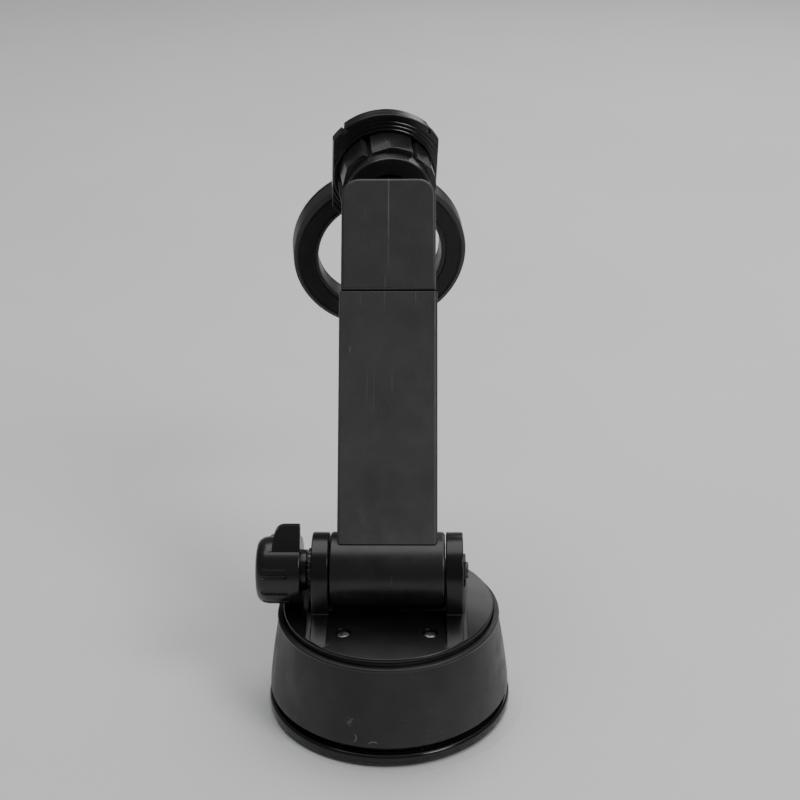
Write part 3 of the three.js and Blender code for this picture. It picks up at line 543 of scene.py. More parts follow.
# Painted light and shade: the ring's housing and cover get a lighter black that stands in for light
# falling on the ring's upward-facing outer sides. Its rear panel gets a darker black that paints shade
# onto its rear face.
RING_BLACK_PAINTED_LIT = gloss("ring_black_painted_lit", 0.020, 0.026, 0.40, grain=0.2)
RING_SATIN_PAINTED_SHADE = gloss("ring_satin_painted_shade", 0.004, 0.007, 0.42, grain=0.3, scratches=0.5, ior=1.38)
NYLON = plastic("natural_nylon", (0.62, 0.60, 0.54), (0.72, 0.70, 0.64), 0.5, 0.2, scratches=0.2,
                wear=0.1)
RUBBER = rubber("cup_rubber", grey(0.007, 0.0005), grey(0.012, 0.0005), 0.13)
GEL = rubber("gel", (0.03, 0.032, 0.035), (0.05, 0.052, 0.055), 0.18)
SILICONE = rubber("face_silicone", grey(0.018, 0.001), grey(0.028, 0.001), 0.6)
STEEL = metal("bright_steel", grey(0.45, 0.01), grey(0.62, 0.01), 0.3)
BLACK_STEEL = metal("black_steel", grey(0.06, 0.005), grey(0.12, 0.005), 0.36)
MAGNET = metal("magnet", grey(0.55, 0.02), grey(0.7, 0.02), 0.2)
FILM = film()

# ------------------------------------------------------------------ fasteners


def head_hole(axis, low, high, centre):
    """The wide bore that a screw's head sits in."""
    return rod(axis, SCREW_HEAD_HOLE, low, high, centre, steps=HOLE_STEPS)


def screw(node, place, axis, head_first, body):
    """A pan-head screw with a cross recess, in the place of its CAD node.

    head_first is 1 or -1, the way the head faces along the axis.
    """
    low, high = span(node, place)
    along = "xyz".index(axis)
    across, up = [i for i in range(3) if i != along]
    centre = ((low[across] + high[across]) / 2, (low[up] + high[up]) / 2)
    radius = (high[across] - low[across]) / 2
    top, tip = (high[along], low[along]) if head_first > 0 else (low[along], high[along])
    crown, seat, shank = 0.35, 1.3, radius * 0.55

    def at(depth):
        return top - head_first * depth

    profile = [
        (0, at(0)), (radius * 0.5, at(0.06)), (radius * 0.82, at(crown * 0.6)),
        (radius, at(crown + 0.25)), (radius, at(seat - 0.1)), (radius - 0.1, at(seat)),
        (shank, at(seat)), (shank, tip + head_first * 0.5), (shank * 0.6, tip), (0, tip),
    ]
    made = lathe(profile, axis, 40, centre)
    width, reach = 0.24, radius * 0.62
    for sizes in ((width, reach), (reach, width)):
        limits = [None, None, None]
        limits[along] = sorted((at(-0.5), at(0.85)))
        for way, middle, size in zip((across, up), centre, sizes):
            limits[way] = (middle - size, middle + size)
        cut(made, block(*limits))
    return put(made, node + "_head", place, body, "bright_steel", STEEL, node)


# ------------------------------------------------------------------ base


def make_film_and_cup():
    low, high = span("protective_film")
    radius = (high.x - low.x) / 2
    profile = [(0, 0), (radius - 0.1, 0), (radius, 0.1), (radius, 0.2), (radius - 0.1, 0.3), (0, 0.3)]
    disc = lathe(profile, "z", ROUND_STEPS, ((high.x + low.x) / 2, 0))
    put(disc, "film_disc", BASE, "base", "clear_film", FILM, "protective_film")

    high = span("suction_cup")[1]
    rim, boss, top = high.x, high.z, 4.0
    profile = [
        (0, 1.5), (rim - 2.0, 1.5), (rim - 1.9, 0.35), *arc(rim - 1.0, 1.3, 1.0, -90, 0, 6),
        *arc(rim - 1.2, top - 1.2, 1.2, 0, 90, 6), (rim - 3.2, top),
        *arc(rim - 3.6, top - 0.8, 0.6, 60, 180, 5), (rim - 5.4, 3.2), (11.5, 4.4), (10.8, 4.8),
        (10.8, boss - 0.4), (10.4, boss), (4.4, boss), (4.4, 7.0), (8.4, 7.0), (8.4, 3.4), (0, 3.4),
    ]
    cup = put(lathe(profile), "cup", BASE, None, "cup_rubber", RUBBER, "suction_cup")
    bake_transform(cup)


def lever_slot(top, half):
    return block((-half, half), (5, 60), (-2, top), corner=2.2, axis="y")


def make_skirt():
    low, high = span("skirt")
    foot, bottom, top = high.x, low.z, high.z
    lip, wall, bulge = 33.8, 1.8, 0.25
    flank = []
    for step in range(13):
        t = step / 12
        radius = foot + (lip - 0.35 - foot) * t + bulge * math.sin(math.pi * t)
        flank.append((radius, bottom + 0.5 + (top - 1.9 - bottom) * t))
    profile = [
        (foot - wall, bottom), (foot - 0.5, bottom), (foot - 0.12, bottom + 0.2), *flank[1:],
        (lip - 0.1, top - 1.15), *arc(lip - 0.55, top - 0.55, 0.55, -20, 90, 6),
        (lip - wall + 0.2, top), (lip - wall, top - 0.25),
    ]
    skirt = cut(lathe(profile), lever_slot(29.2, 11.4))
    put(skirt, "skirt_shell", BASE, "base", "satin_black", SATIN_SKIRT, "skirt")


def make_cap():
    low, high = span("clevis_cap")
    pivot = PIVOT.translation.z / MM
    edge, reach = high.x, high.z - pivot
    under, seat = 30.6, 32.6
    rise, crown = 33.7, 1.7
    inner, outer = 17.5, 22.6
    skirt_in, skirt_out = 27.4, 29.4
    shares = [i / 10 for i in range(1, 11)]
    dome = [(edge * (1 - t), rise + crown * (1 - (1 - t) ** 2)) for t in shares]
    profile = [
        (0, under), (skirt_in, under), (skirt_in, low.z), (skirt_out, low.z), (skirt_out, seat),
        (edge - 0.2, seat), (edge, seat + 0.2), (edge, rise - 0.45),
        *arc(edge - 0.5, rise - 0.45, 0.5, 20, 80, 4), *dome,
    ]
    cap = lathe(profile)
    shoulder = pivot - 8.6
    foot = math.sqrt(edge ** 2 - inner ** 2) - 0.6
    for side in (-1, 1):
        lower = filleted([
            (-reach, pivot - 1), (-reach, shoulder, 0.4), (-foot, rise - 0.1), (-foot, seat + 0.3),
            (foot, seat + 0.3), (foot, rise - 0.1), (reach, shoulder, 0.4), (reach, pivot - 1),
        ])
        ear_limits = sorted((side * inner, side * outer))
        ear = extruded([*arc(0, pivot, reach, 0, 180, 40), *lower], *ear_limits, "x", 0.45)
        flare_outline = filleted([
            (-foot + 3, seat + 0.3), (foot - 3, seat + 0.3), (foot - 3, rise),
            (reach - 2, shoulder, 0.4), (2 - reach, shoulder, 0.4), (3 - foot, rise),
        ])
        flare_limits = sorted((side * (outer - 1), side * (outer + 1.4)))
        flare = extruded(flare_outline, *flare_limits, "x", 0.35)
        within = rod("z", edge - 0.35, seat, pivot + 20, steps=ROUND_STEPS)
        both = joined(ear, flare)
        boolean(both, within, "INTERSECT")
        joined(cap, both)
    cut(cap, rod("x", BARREL_SEAT, -inner, inner, (0, pivot), steps=128),
        rod("x", BOLT_HOLE, -30, 30, (0, pivot)),
        extruded(hexagon(5.3, (0, pivot)), 21.1, 30, "x", 0))
    for side in ("left", "right"):
        low, high = span("cap_screw_" + side)
        centre = ((low.x + high.x) / 2, (low.y + high.y) / 2)
        cut(cap, head_hole("z", high.z - 1.6, 40, centre),
            rod("z", SCREW_HOLE, 20, 40, centre, steps=32))
        screw("cap_screw_" + side, BASE, "z", 1, "base")
    put(cap, "clevis", BASE, "base", "gloss_black", GLOSS_CAP, "clevis_cap")


def half_space(point, normal, reach=60):
    """A big block that fills everything beyond a plane, to cut with."""
    normal = Vector(normal).normalized()
    side = normal.orthogonal()
    made = block((-reach, reach), (-reach, reach), (0, reach), axis="z")
    made.data.transform(local_frame(point, side, normal))
    return made


def make_lever():
    half = span("lever", LEVER)[1].x
    reach, under, over = 37.0, -1.4, 2.2
    slope = math.radians(30)
    tip = (reach + 12 * math.cos(slope), 12 * math.sin(slope))
    outline = filleted([
        (-3, under), (reach, under, 4), (tip[0] + 0.6, tip[1] - 1, 0.9),
        (tip[0], tip[1] + 1.5, 1.2), (reach - 1, over, 4), (-3, over),
    ])
    lever = extruded(outline, -half, half, "x", 0.7)
    joined(lever, rod("x", 6.5, -half, half, polar(5, 11), 0.3, 96),
           rod("x", 3.1, -half, half, (0, 0), 0.3))
    for index in range(5):
        along = 2.6 + index * 1.9
        centre = (reach - 0.6 + along * math.cos(slope), over - 0.4 + along * math.sin(slope))
        joined(lever, rod("x", 0.55, -half + 2.2, half - 2.2, centre, 0.3, 20))
    cut(lever, block((-4.4, 4.4), (-12, 13), (-12, 12), 0.3, 0.6, "z"),
        block((-half - 1, half + 1), (-12, reach - 3), (3.1, 12)),
        rod("x", 1.65, -half - 1, half + 1))
    put(lever, "lock_lever", LEVER, "lock_lever", "gloss_black", GLOSS, "lever")


def make_spring():
    low, high = span("return_spring")
    wire, turns = 0.4, 3.5
    radius, start, end = high.x - wire, low.z + wire, high.z - wire
    steps, sides = 240, 14
    section = [polar(wire, 360 * side / sides) for side in range(sides)]
    bm = bmesh.new()
    rings = []
    for step in range(steps + 1):
        share = step / steps
        angle = 2 * math.pi * turns * share
        out = Vector((math.cos(angle), math.sin(angle), 0))
        middle = out * radius + Vector((0, 0, start + (end - start) * share))
        rings.append([bm.verts.new(middle + out * away + Vector((0, 0, up))) for away, up in section])
    for first, second in zip(rings, rings[1:]):
        for i in range(sides):
            bm.faces.new((first[i - 1], first[i], second[i], second[i - 1]))
    bm.faces.new(rings[0])
    bm.faces.new(rings[-1])
    spring = put(made_object(bm), "spring", BASE, "base", "bright_steel", STEEL, "return_spring")
    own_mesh(spring)


def make_pivot():
    bolt = extruded(hexagon(5), 21.4, 23.5, "x", 0.25, 2)
    crown = lathe([(0, 21), (5.9, 21), (5.9, 22.6), (4.4, 23.6), (0, 23.6)], "x", 64)
    boolean(bolt, crown, "INTERSECT")
    joined(bolt, rod("x", 2.5, -36.4, 24.3, (0, 0), 0.5))
    put(bolt, "bolt", PIVOT, "base", "black_steel", BLACK_STEEL, "pivot_bolt")

    low, high = span("pivot_washer", PIVOT)
    outer, teeth = high.z, 24
    profile = [
        (BOLT_HOLE, low.x), (outer - 0.2, low.x), (outer, low.x + 0.2), (outer, high.x - 0.2),
        (outer - 0.2, high.x), (BOLT_HOLE, high.x),
    ]
    washer = lathe(profile, "x", 96)
    for index in range(teeth):
        notch = polar(outer, 360 * index / teeth)
        cut(washer, rod("x", 0.45, low.x - 1, high.x + 1, notch, steps=10))
    put(washer, "toothed_washer", PIVOT, "base", "black_steel", BLACK_STEEL, "pivot_washer")


def make_knob():
    low, high = span("knob", PIVOT)
    face, end, radius, top = -26.0, low.x, 10.2, high.z
    drum = [
        (0, end + 0.6), (6.0, end + 0.6), (6.5, end), (radius - 3.0, end),
        (radius - 1.9, end + 0.25), (radius - 1.0, end + 0.9), (radius - 0.35, end + 2.0),
        (radius, end + 3.6), (radius, face - 0.5), (radius - 0.15, face - 0.15),
        (radius - 0.5, face), (0, face),
    ]
    knob = lathe(drum, "x", 144)
    tip = face - 8.6
    wing_outline = [(tip, 0), (tip + 0.2, 10.0, 3), (tip + 1.3, top, 3.4), (face, top, 0.5), (face, 0)]
    wing = extruded(filleted(wing_outline, 8), -5.2, 1.0, "y", 0.35)
    cut(wing, half_space((0, -0.8, top), (0, -6.5, 4)))
    joined(knob, wing, rod("x", 6.2, face - 1, -24.25, (0, 0), 0.3, 64))
    back_outline = [(face - 11.5, 0), (face - 11.8, 9.5, 2), (face - 9.5, 12.4, 2),
                    (face - 6.4, 12.4, 1.2), (face - 6, 0)]
    back_wing = extruded(filleted(back_outline, 6), -1.5, 2.5, "y", 0.6)
    joined(knob, turned(back_wing, "X", -62))
    even_grooves = [(degrees, 0.8) for degrees in range(194, 335, 28)]
    for degrees, size in ((149.4, 0.42), (163, 0.7), *even_grooves):
        place = polar(radius + 0.1, degrees)
        cut(knob, rod("x", size, end + 1.6, face - 3.6, place, size * 0.8, 24))
    cut(knob, rod("x", BOLT_HOLE, end - 1, -20), rod("x", 6.65, end - 2, end + 1.65, steps=64),
        extruded(hexagon(4.65), end - 1, end + 9.4, "x", 0))
    put(knob, "clamp_knob", PIVOT, "clamp_knob", "gloss_black", GLOSS, "knob")

    low, high = span("knob_cap", PIVOT)
    edge = high.z
    profile = [
        (0, high.x), (edge, high.x), (edge, low.x + 0.35),
        *arc(edge - 0.35, low.x + 0.35, 0.35, 0, -90, 4),
        (edge - 1.6, low.x), (edge - 1.9, low.x + 0.25), (0, low.x + 0.2),
    ]
    disc = lathe(profile[::-1], "x", 96)
    put(disc, "knob_end_cap", PIVOT, "clamp_knob", "satin_black", SATIN_BASE, "knob_cap")


# ------------------------------------------------------------------ arm


def panel_outline(half, back, front):
    """A shell's section: two rounded corners at the back, square ones at the front."""
    return filleted([(half, front), (-half, front), (-half, back, EDGE_ROUND), (half, back, EDGE_ROUND)])


def make_sleeve():
    half, wall = 15.0, 2.0
    sides, top = (-half + wall, half - wall), SLEEVE_TOP + 1
    screws = [(side * SLEEVE_SCREW[0], SLEEVE_SCREW[1]) for side in (-1, 1)]
    rear = extruded(panel_outline(half, ARM_BACK, SPLIT), 6.7, SLEEVE_TOP, "z", 0.25)
    cut(rear, block(sides, (ARM_BACK + wall, 0), (BARREL + 1, top), 0, 0.8, "z"),
        rod("x", BARREL + 0.3, -half - 1, half + 1, steps=ROUND_STEPS))
    for place in screws:
        joined(rear, rod("y", 3, ARM_BACK + wall - 0.5, SPLIT - SPLIT_GAP, place))
        cut(rear, rod("y", SCREW_HOLE, ARM_BACK + 0.9, 0, place))
    put(rear, "sleeve_back", ARM, "arm_sleeve", "satin_black", SATIN_SLEEVE, "sleeve_rear_cover")

    front = extruded(panel_outline(half, -ARM_FRONT, -SPLIT - SPLIT_GAP), 0, SLEEVE_TOP, "z", 0.25)
    front.data.transform(Matrix.Diagonal((1, -1, 1, 1)))
    front.data.flip_normals()
    cut(front, block(sides, (-9, ARM_FRONT - wall), (BARREL + 0.6, top), 0, 0.8, "z"))
    end = 17.2
    profile = [
        (0, -end), (BARREL - 1.0, -end), (BARREL - 0.3, -end + 0.25), (BARREL, -end + 0.9),
        (BARREL, end - 0.9), (BARREL - 0.3, end - 0.25), (BARREL - 1.0, end), (0, end),
    ]
    barrel = lathe(profile, "x")
    cut(front, rod("x", BARREL - 0.1, -FAR, FAR, steps=ROUND_STEPS))
    seat = end - 1.1
    cut(barrel, rod("x", 4.25, -FAR, FAR), rod("x", 8.3, seat, FAR, steps=96),
        rod("x", 8.3, -FAR, -seat, steps=96))
    for side, place in zip((-1, 1), screws):
        joined(front, rod("y", 3, SPLIT + SPLIT_GAP, ARM_FRONT - wall + 0.5, place))
        cut(front, rod("y", SCREW_HOLE, -8, 8, place), head_hole("y", ARM_FRONT - 2.0, FAR, place))
        under = (side * 9.9, 0)
        cut(barrel, head_hole("z", -FAR, -BARREL + 2.1, under), rod("z", SCREW_HOLE, -FAR, -4, under))
    put(barrel, "barrel", ARM, "arm_sleeve", "gloss_black", GLOSS_BARREL, "sleeve_front_shell")
    put(front, "sleeve_front", ARM, "arm_sleeve", "satin_black", SATIN, "sleeve_front_shell")
    for side in ("left", "right"):
        screw("sleeve_screw_" + side, ARM, "y", 1, "arm_sleeve")
        screw("barrel_screw_" + side, ARM, "z", -1, "arm_sleeve")


def make_slider():
    low, high = span("slider_bar", ARM)
    bar = extruded(rectangle((low.x, high.x), (low.y, high.y), 1.2, 6), low.z, high.z, "z", 0.3)
    wall, pocket, leaf = 1.8, 1.6, 1.8
    hollow = (low.x + wall + pocket, high.x - wall - pocket), (low.y + wall, high.y - wall - leaf)
    cut(bar, block(*hollow, (low.z - 1, HEAD_LOW - 2), 0, 0.6, "z"),
        block((-4.4, 4.4), (high.y - leaf, high.y + 1), (low.z + 4, low.z + 36), 0, 0.6, "y"))
    for side in (-1, 1):
        depth = sorted((side * (high.x - pocket), side * FAR))
        cut(bar, block(depth, (-3.4, 3.4), (low.z + 4, low.z + 20), 0, 0.4, "x"),
            rod("y", SCREW_HOLE, -FAR, FAR, (side * HEAD_SCREW[0], HEAD_SCREW[1])))
    for index in range(6):
        height = low.z + 42 + index * 3.2
        cut(bar, rod("x", 0.5, -4, 4, (high.y + 0.25, height), 0.4, 20))
    put(bar, "slide_bar", ARM, "arm_slider", "satin_black", SATIN, "slider_bar")


def head_outline(half, corner):
    top = HEAD_HIGH - corner
    return [(-half, HEAD_LOW), (half, HEAD_LOW), *arc(half - corner, top, corner, 0, 90),
            *arc(corner - half, top, corner, 90, 180)]


def make_arm_head():
    half, corner = 14.5, 5.5
    ball = ARM.inverted() @ BALL / MM
    slope = Vector((0, 1, 1))
    middle = ball - slope.normalized() * 14
    bar_width, lowest, beyond = (-12.7, 12.7), 80, 130

    def along_stud(radius, low, high):
        made = rod("z", radius, low, high)
        made.data.transform(local_frame(middle, (1, 0, 0), -slope))
        return made

    rear = extruded(head_outline(half, corner), ARM_BACK, SPLIT + 3, "y", 1.0, 5)
    cut(rear, block((-FAR, FAR), (SPLIT, FAR), (lowest, beyond)), half_space(middle, slope),
        block(bar_width, (-7.1, FAR), (lowest, 100.5), 0, 0.6, "z"),
        block((-half + 2, half - 2), (ARM_BACK + 2, FAR), (99, HEAD_HIGH - 6), 0, 1, "y"))
    front = extruded(head_outline(half, corner), SPLIT - 3, ARM_FRONT, "y", 1.0, 5)
    cut(front, block((-FAR, FAR), (-FAR, SPLIT + SPLIT_GAP), (lowest, beyond)),
        half_space(middle, slope), block(bar_width, (-7.1, 6.3), (lowest, 100.5), 0, 0.6, "z"),
        along_stud(3.4, -3, 6), along_stud(5, 5, 10.1))
    for side in (-1, 1):
        place = (side * HEAD_SCREW[0], HEAD_SCREW[1])
        cut(rear, rod("y", SCREW_HOLE, ARM_BACK + 0.8, FAR, place))
        cut(front, rod("y", SCREW_HOLE, -FAR, FAR, place), head_hole("y", ARM_FRONT - 2, FAR, place))
    put(rear, "head_back", ARM, "arm_slider", "satin_black", SATIN_HEAD, "head_rear_cover")
    put(front, "head_front", ARM, "arm_slider", "satin_black", SATIN, "head_front_shell")
    for side in ("left", "right"):
        screw("head_screw_" + side, ARM, "y", 1, "arm_slider")

    radius, stem = 7.5, 3.2
    start = -math.degrees(math.acos(stem / radius))
    profile = [
        (0, -22.7), (1.5, -22.7), (2, -22.2), (2, -18.5), (stem, -18.5), (stem, -14.3),
        (5.0, -14.3), (5.2, -14.1), (5.2, -12.9), (4.8, -12.5), (stem + 0.5, -12.4),
        (stem, -11.8), *arc(0, 0, radius, start, 90, 40),
    ]
    stud = lathe(profile, "z", 96)
    place = local_frame(BALL, (1, 0, 0), ARM.to_3x3() @ slope)
    put(stud, "stud", place, "arm_slider", "black_steel", BLACK_STEEL, "ball_stud")


# ------------------------------------------------------------------ head


def plate_outline(radius, flat, shoulder, notch):
    """The plate's edge: an arc above and below, a notch at its ends and lower shoulders to the flats."""
    limit = math.degrees(math.acos(flat / shoulder))
    arc_end, gap = 50, 4
    right_top = [*arc(0, 0, shoulder, limit, arc_end - gap, 4),
                 *arc(0, 0, shoulder - notch, arc_end - gap, arc_end, 2),
                 *arc(0, 0, radius, arc_end, 90, 16)]
    left_top = [(-x, y) for x, y in right_top[::-1]][1:]
    top = right_top + left_top
    return top + [(x, -y) for x, y in top[::-1]]


def make_plate():
    back, split, front = 9.0, 11.6, 14.0
    radius, flat = 21.2, 17.0
    half_gap = 0.15
    rear = extruded(plate_outline(radius, flat, 20.7, 0.8), back, split - half_gap, "y", 0.3)
    outer, lip = 11.7, 5.5
    socket = [(0, back + 0.8), (outer, back + 0.8), (outer, -lip + 0.3), (outer - 0.3, -lip), (0, -lip)]
    joined(rear, lathe(socket, "y"))
    rings = lathe([
        (15.9, back + 0.4), (15.9, back - 1.1), (16.05, back - 1.25), (16.6, back - 1.25),
        (16.75, back - 1.1), (16.8, back - 0.85), (17.7, back - 0.85), (17.85, back - 0.7),
        (17.9, back - 0.45), (18.8, back - 0.45), (18.95, back - 0.3), (19.0, back + 0.4),
    ], "y")
    boolean(rings, block((-flat + 0.4, flat - 0.4), (0, 12), (-22, 22)), "INTERSECT")
    joined(rear, rings)
    for groove in range(4):
        height = 5.6 - groove * 1.6
        profile = [(outer - 0.35, height), (outer + 1, height - 0.6), (outer + 1, height + 0.6)]
        cut(rear, lathe(profile, "y", 96))
    hollow = 9.1
    cut(rear, lathe([(0, -hollow), *arc(0, 0, hollow, -90, 90, 48)], "y"),
        lathe([(0, -6.5), (8.1, -6.5), (7.1, -4), (0, -4)], "y"))
    for turn in (45, 135):
        cut(rear, turned(block((-0.6, 0.6), (-lip - 1, 2), (-13, 13)), "Y", turn))
    cover = extruded(plate_outline(radius - 0.4, flat, 20.3, 0.8), split + half_gap, front, "y", 0.35)
    knuckle, inner, reach = 2.9, 7.3, 11.3
    hinge = (FOLD.y, FOLD.z)
    for side in (-1, 1):
        ends = sorted((side * inner, side * reach))
        lug = rod("x", knuckle, *ends, hinge, 0.4)
        joined(lug, block(ends, (front - 0.5, FOLD.y), (FOLD.z - knuckle, FOLD.z + knuckle)))
        joined(cover, lug)
    cut(cover, rod("x", PIN_HOLE, -reach - 1, reach + 1, hinge))
    for index in range(4):
        place = polar(16.4, 45 + 90 * index)
        cut(cover, rod("y", SCREW_HOLE, 8, FAR, place), head_hole("y", front - 1.9, FAR, place))
        cut(rear, rod("y", SCREW_HOLE, back + 0.5, FAR, place))
        screw("plate_screw_%d" % (index + 1), HEAD, "y", 1, "plate")
    put(rear, "plate_back", HEAD, "plate", "gloss_black", GLOSS_HEAD, "plate_rear_shell")
    put(cover, "plate_front", HEAD, "plate", "gloss_black", GLOSS_HEAD, "plate_front_shell")
    low, high = span("ring_pin", HEAD)
    pin = rod("x", 1.2, low.x, high.x, hinge, 0.3, 40)
    put(pin, "hinge_pin", HEAD, "plate", "bright_steel", STEEL, "ring_pin")


def make_lock_nut():
    front, back, lobe_back = 8.2, -6.4, -2.2
    root, tip, bore, lip = 13.9, 15.6, 12.0, 8.2
    profile = [
        (lip, back + 0.35), (lip + 0.35, back), (root - 0.5, back), (root - 0.15, back + 0.12),
        (root, back + 0.4), (root, lobe_back - 0.25), (root - 0.25, lobe_back),
        (root - 0.25, front - 0.3), (root - 0.55, front), (bore, front), (bore, -5.8), (lip, -5.8),
    ]
    nut = lathe(profile, "y")
    lobes, first_turn, half = 6, 4, 6.5
    spread = math.degrees(math.asin(half / tip))
    outline = [(-half, root - 1.5), (half, root - 1.5), *arc(0, 0, tip, 90 - spread, 90 + spread, 20)]
    # Each lobe is cut off by a plane that slants down from this edge along this fall.
    edge = Vector((-3.2, front, tip - 0.35)), Vector((-0.95, lobe_back, tip - 0.05))
    fall = Vector((-3.4, 0, -1.45))
    normal = (edge[1] - edge[0]).cross(fall)
    if normal.z < 0:
        normal = -normal
    for index in range(lobes):
        lobe = extruded(outline, lobe_back, front, "y", 0.35)
        cut(lobe, half_space(edge[0], normal),
            rod("y", bore + 0.3, lobe_back - 1, front + 1, steps=96))
        joined(nut, turned(lobe, "Y", first_turn + 360 * index / lobes))
    put(nut, "nut", HEAD, "nut", "gloss_black", GLOSS_NUT, "lock_nut")


def make_ring():
    rear, front = 14.4, 23.2
    outer, inner = 29.5, 21.0
    cover = front - 2.0
    wall, floor, edge = 1.5, rear + 1.8, cover - 0.3
    step, channel = rear + 0.4, rear + 0.8
    profile = [
        (inner, rear + 0.5), (inner + 0.15, rear + 0.15), (inner + 0.5, rear), (inner + 1.1, rear),
        (inner + 1.3, step), (inner + 1.5, step), (inner + 1.5, channel), (outer - 1.9, channel),
        (outer - 1.9, step), (outer - 1.65, step), (outer - 1.5, rear), (outer - 0.9, rear),
        (outer - 0.25, rear + 0.25), (outer, rear + 0.9), (outer, cover - 0.35),
        (outer - 0.1, edge), (outer - wall, edge), (outer - wall, floor), (inner + wall, floor),
        (inner + wall, edge), (inner, edge),
    ]
    housing = lathe(profile, "y", RING_STEPS, RING_CENTRE)
    half, radius, hinge = 7.0, 2.9, (FOLD.y, FOLD.z)
    knuckle = rod("x", radius, -half, half, hinge, 0.4)
    bridge = block((-half, half), (FOLD.y - radius, FOLD.y + radius),
                   (outer + RING_CENTRE[1] - 2, FOLD.z), 0.2)
    cut(bridge, rod("y", outer - 0.5, rear - 3, front + 3, RING_CENTRE, steps=ROUND_STEPS))
    joined(housing, joined(knuckle, bridge))
    cut(housing, rod("x", PIN_HOLE, -half - 1, half + 1, hinge))
    # The housing's lighter black is painted light on the ring's upward-facing outer sides.
    put(housing, "ring_housing", HEAD, "ring", "gloss_black", RING_BLACK_PAINTED_LIT, "ring_rear_housing")

    low, high = rear + 0.1, rear + 0.55
    profile = [
        (inner + 1.75, high), (inner + 1.75, low + 0.15), (inner + 1.95, low), (outer - 2.25, low),
        (outer - 2.05, low + 0.15), (outer - 2.05, high),
    ]
    panel = lathe(profile, "y", RING_STEPS, RING_CENTRE)
    # The panel's darker black is painted shade on the ring's rear face.
    put(panel, "ring_panel", HEAD, "ring", "satin_black", RING_SATIN_PAINTED_SHADE, "ring_rear_panel")

    pad_in, pad_out, pad_low = inner + 1.2, outer - 1.2, front - 1.0
    face, seat = front - 0.3, pad_low - 0.3
    profile = [
        (inner, cover), (outer - 0.15, cover), (outer, cover + 0.15), (outer, front - 0.8),
        (outer - 0.15, front - 0.45), (outer - 0.5, face), (pad_out + 0.3, face),
        (pad_out + 0.3, seat), (pad_in - 0.3, seat), (pad_in - 0.3, face), (inner + 0.4, face),
        (inner + 0.1, front - 0.5), (inner, front - 0.8),
    ]
    rim = lathe(profile, "y", RING_STEPS, RING_CENTRE)
    # The cover shares the housing's lighter black, which is painted light.
    put(rim, "ring_cover", HEAD, "ring", "gloss_black", RING_BLACK_PAINTED_LIT, "ring_front_cover")

    groove = front - 0.2
    profile = [(pad_in, pad_low), (pad_out, pad_low), (pad_out, groove), (pad_out - 0.2, front)]
    for index in range(4):
        middle = pad_out - 1.1 - index * 1.3
        profile += [(middle + 0.3, front), (middle + 0.2, groove), (middle - 0.2, groove),
                    (middle - 0.3, front)]
    profile += [(pad_in + 0.2, front), (pad_in, groove)]
    pad = lathe(profile, "y", RING_STEPS, RING_CENTRE)
    put(pad, "ring_pad", HEAD, "ring", "face_silicone", SILICONE, "ring_face_pad")


# ------------------------------------------------------------------ CAD nodes that keep their shape

KEPT = {
    "gel_pad": GEL, "inner_frame": SATIN_BASE, "pull_stem": NYLON, "cam_wear_plate": STEEL,
    "lever_pin": STEEL, "knob_insert": STEEL, "barrel_bush": STEEL, "friction_washer_left": NYLON,
    "friction_washer_right": NYLON, "friction_pad_left": NYLON, "friction_pad_right": NYLON,
    "detent_leaf": STEEL, "stud_nut": STEEL, "ball_liner_inner": NYLON, "ball_liner_outer": NYLON,
    "steel_yoke": STEEL, **{"magnet_%d" % (index + 1): MAGNET for index in range(8)},
}


def dress_kept_nodes():
    for name, material in KEPT.items():
        node = NODES[name]
        node.data.materials.clear()
        node.data.materials.append(material)
        bevel = node.modifiers.new("edges", "BEVEL")
        bevel.width = 0.12 * MM
        bevel.segments = 2
        bevel.limit_method = "ANGLE"
        bevel.angle_limit = math.radians(40)


make_film_and_cup()
make_skirt()
make_cap()
make_lever()
make_spring()
make_pivot()
make_knob()
make_sleeve()
make_slider()
make_arm_head()
make_plate()
make_lock_nut()
make_ring()
dress_kept_nodes()

# ------------------------------------------------------------------ stage

CAMERA_PLACE = (0.0140, -0.4119, 0.2863)
CAMERA_TURN = (65.807, 0.507, 1.142)
CAMERA_LENS = 70.7
SKY = (0.95, 0.97, 1.0, 1)
SKY_STRENGTH = 0.15


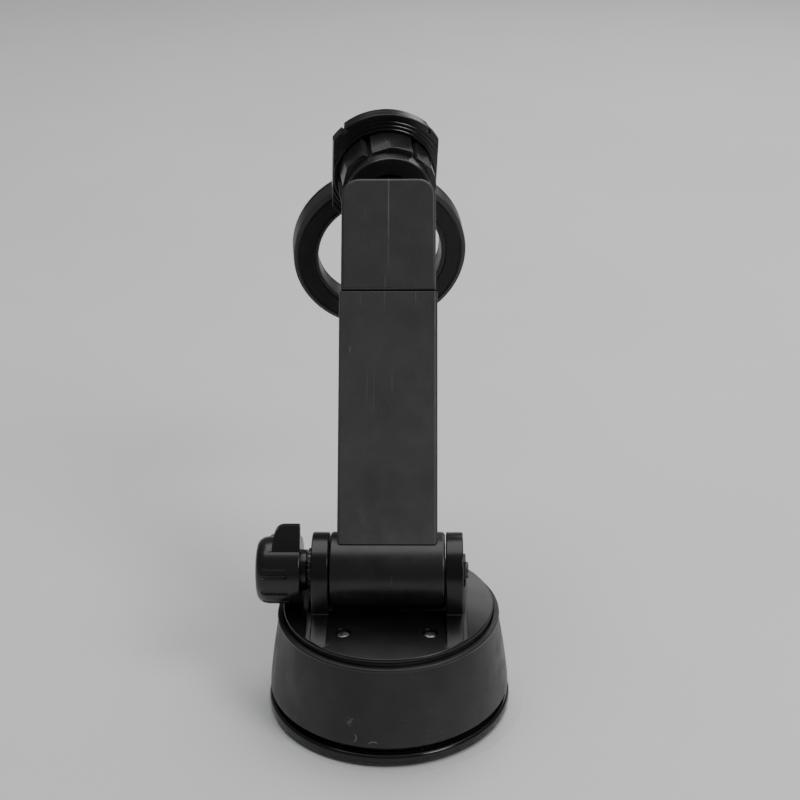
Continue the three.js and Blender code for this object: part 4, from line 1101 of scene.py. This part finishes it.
def make_floor():
    bpy.ops.mesh.primitive_plane_add(size=30, location=(0, 1.2, -0.0001))
    floor = bpy.context.object
    floor.name = "floor"
    shader = Shader("floor_paper")
    cloud = shader.ramp(shader.noise(6, 3), 0.3, 0.7)
    tone = shader.mix(cloud, grey(0.88, 0.005), grey(0.91, 0.005))
    shader.link(tone, shader.surface.inputs["Base Color"])
    matt = shader.ramp(shader.noise(300, 2), 0.3, 0.7, 0.5, 0.6)
    shader.link(matt, shader.surface.inputs["Roughness"])
    fibres = shader.bump(shader.noise(900, 3), 0.1, 0.0002)
    shader.link(fibres, shader.surface.inputs["Normal"])
    floor.data.materials.append(shader.material)


def area_light(name, place, aim, size, radiance):
    """A white panel at place that faces aim; radiance is its brightness whatever its size."""
    data = bpy.data.lights.new(name, "AREA")
    data.shape = "RECTANGLE"
    data.size, data.size_y = size
    data.energy = radiance * math.pi * size[0] * size[1]
    light = bpy.data.objects.new(name, data)
    light.location = place
    light.rotation_euler = (Vector(aim) - Vector(place)).to_track_quat("-Z", "Y").to_euler()
    bpy.context.scene.collection.objects.link(light)


def make_camera():
    data = bpy.data.cameras.new("camera")
    data.sensor_width = 36
    data.lens = CAMERA_LENS
    data.clip_start, data.clip_end = 0.01, 20
    camera = bpy.data.objects.new("camera", data)
    camera.location = CAMERA_PLACE
    camera.rotation_euler = [math.radians(a) for a in CAMERA_TURN]
    bpy.context.scene.collection.objects.link(camera)
    bpy.context.scene.camera = camera


def make_world():
    world = bpy.data.worlds.new("studio")
    world.use_nodes = True
    background = world.node_tree.nodes["Background"]
    background.inputs["Color"].default_value = SKY
    background.inputs["Strength"].default_value = SKY_STRENGTH
    bpy.context.scene.world = world


make_floor()
make_camera()
make_world()
area_light("back_panel", (0.42, 1.1, 0.62), (0, 0, 0.04), (0.7, 0.34), 2.2)
area_light("key", (0.78, -0.62, 1.0), (0, 0, 0.05), (0.45, 0.45), 8.0)
area_light("ceiling", (0.1, 0.45, 1.4), (0.1, 0.45, 0), (1.5, 1.3), 2.3)
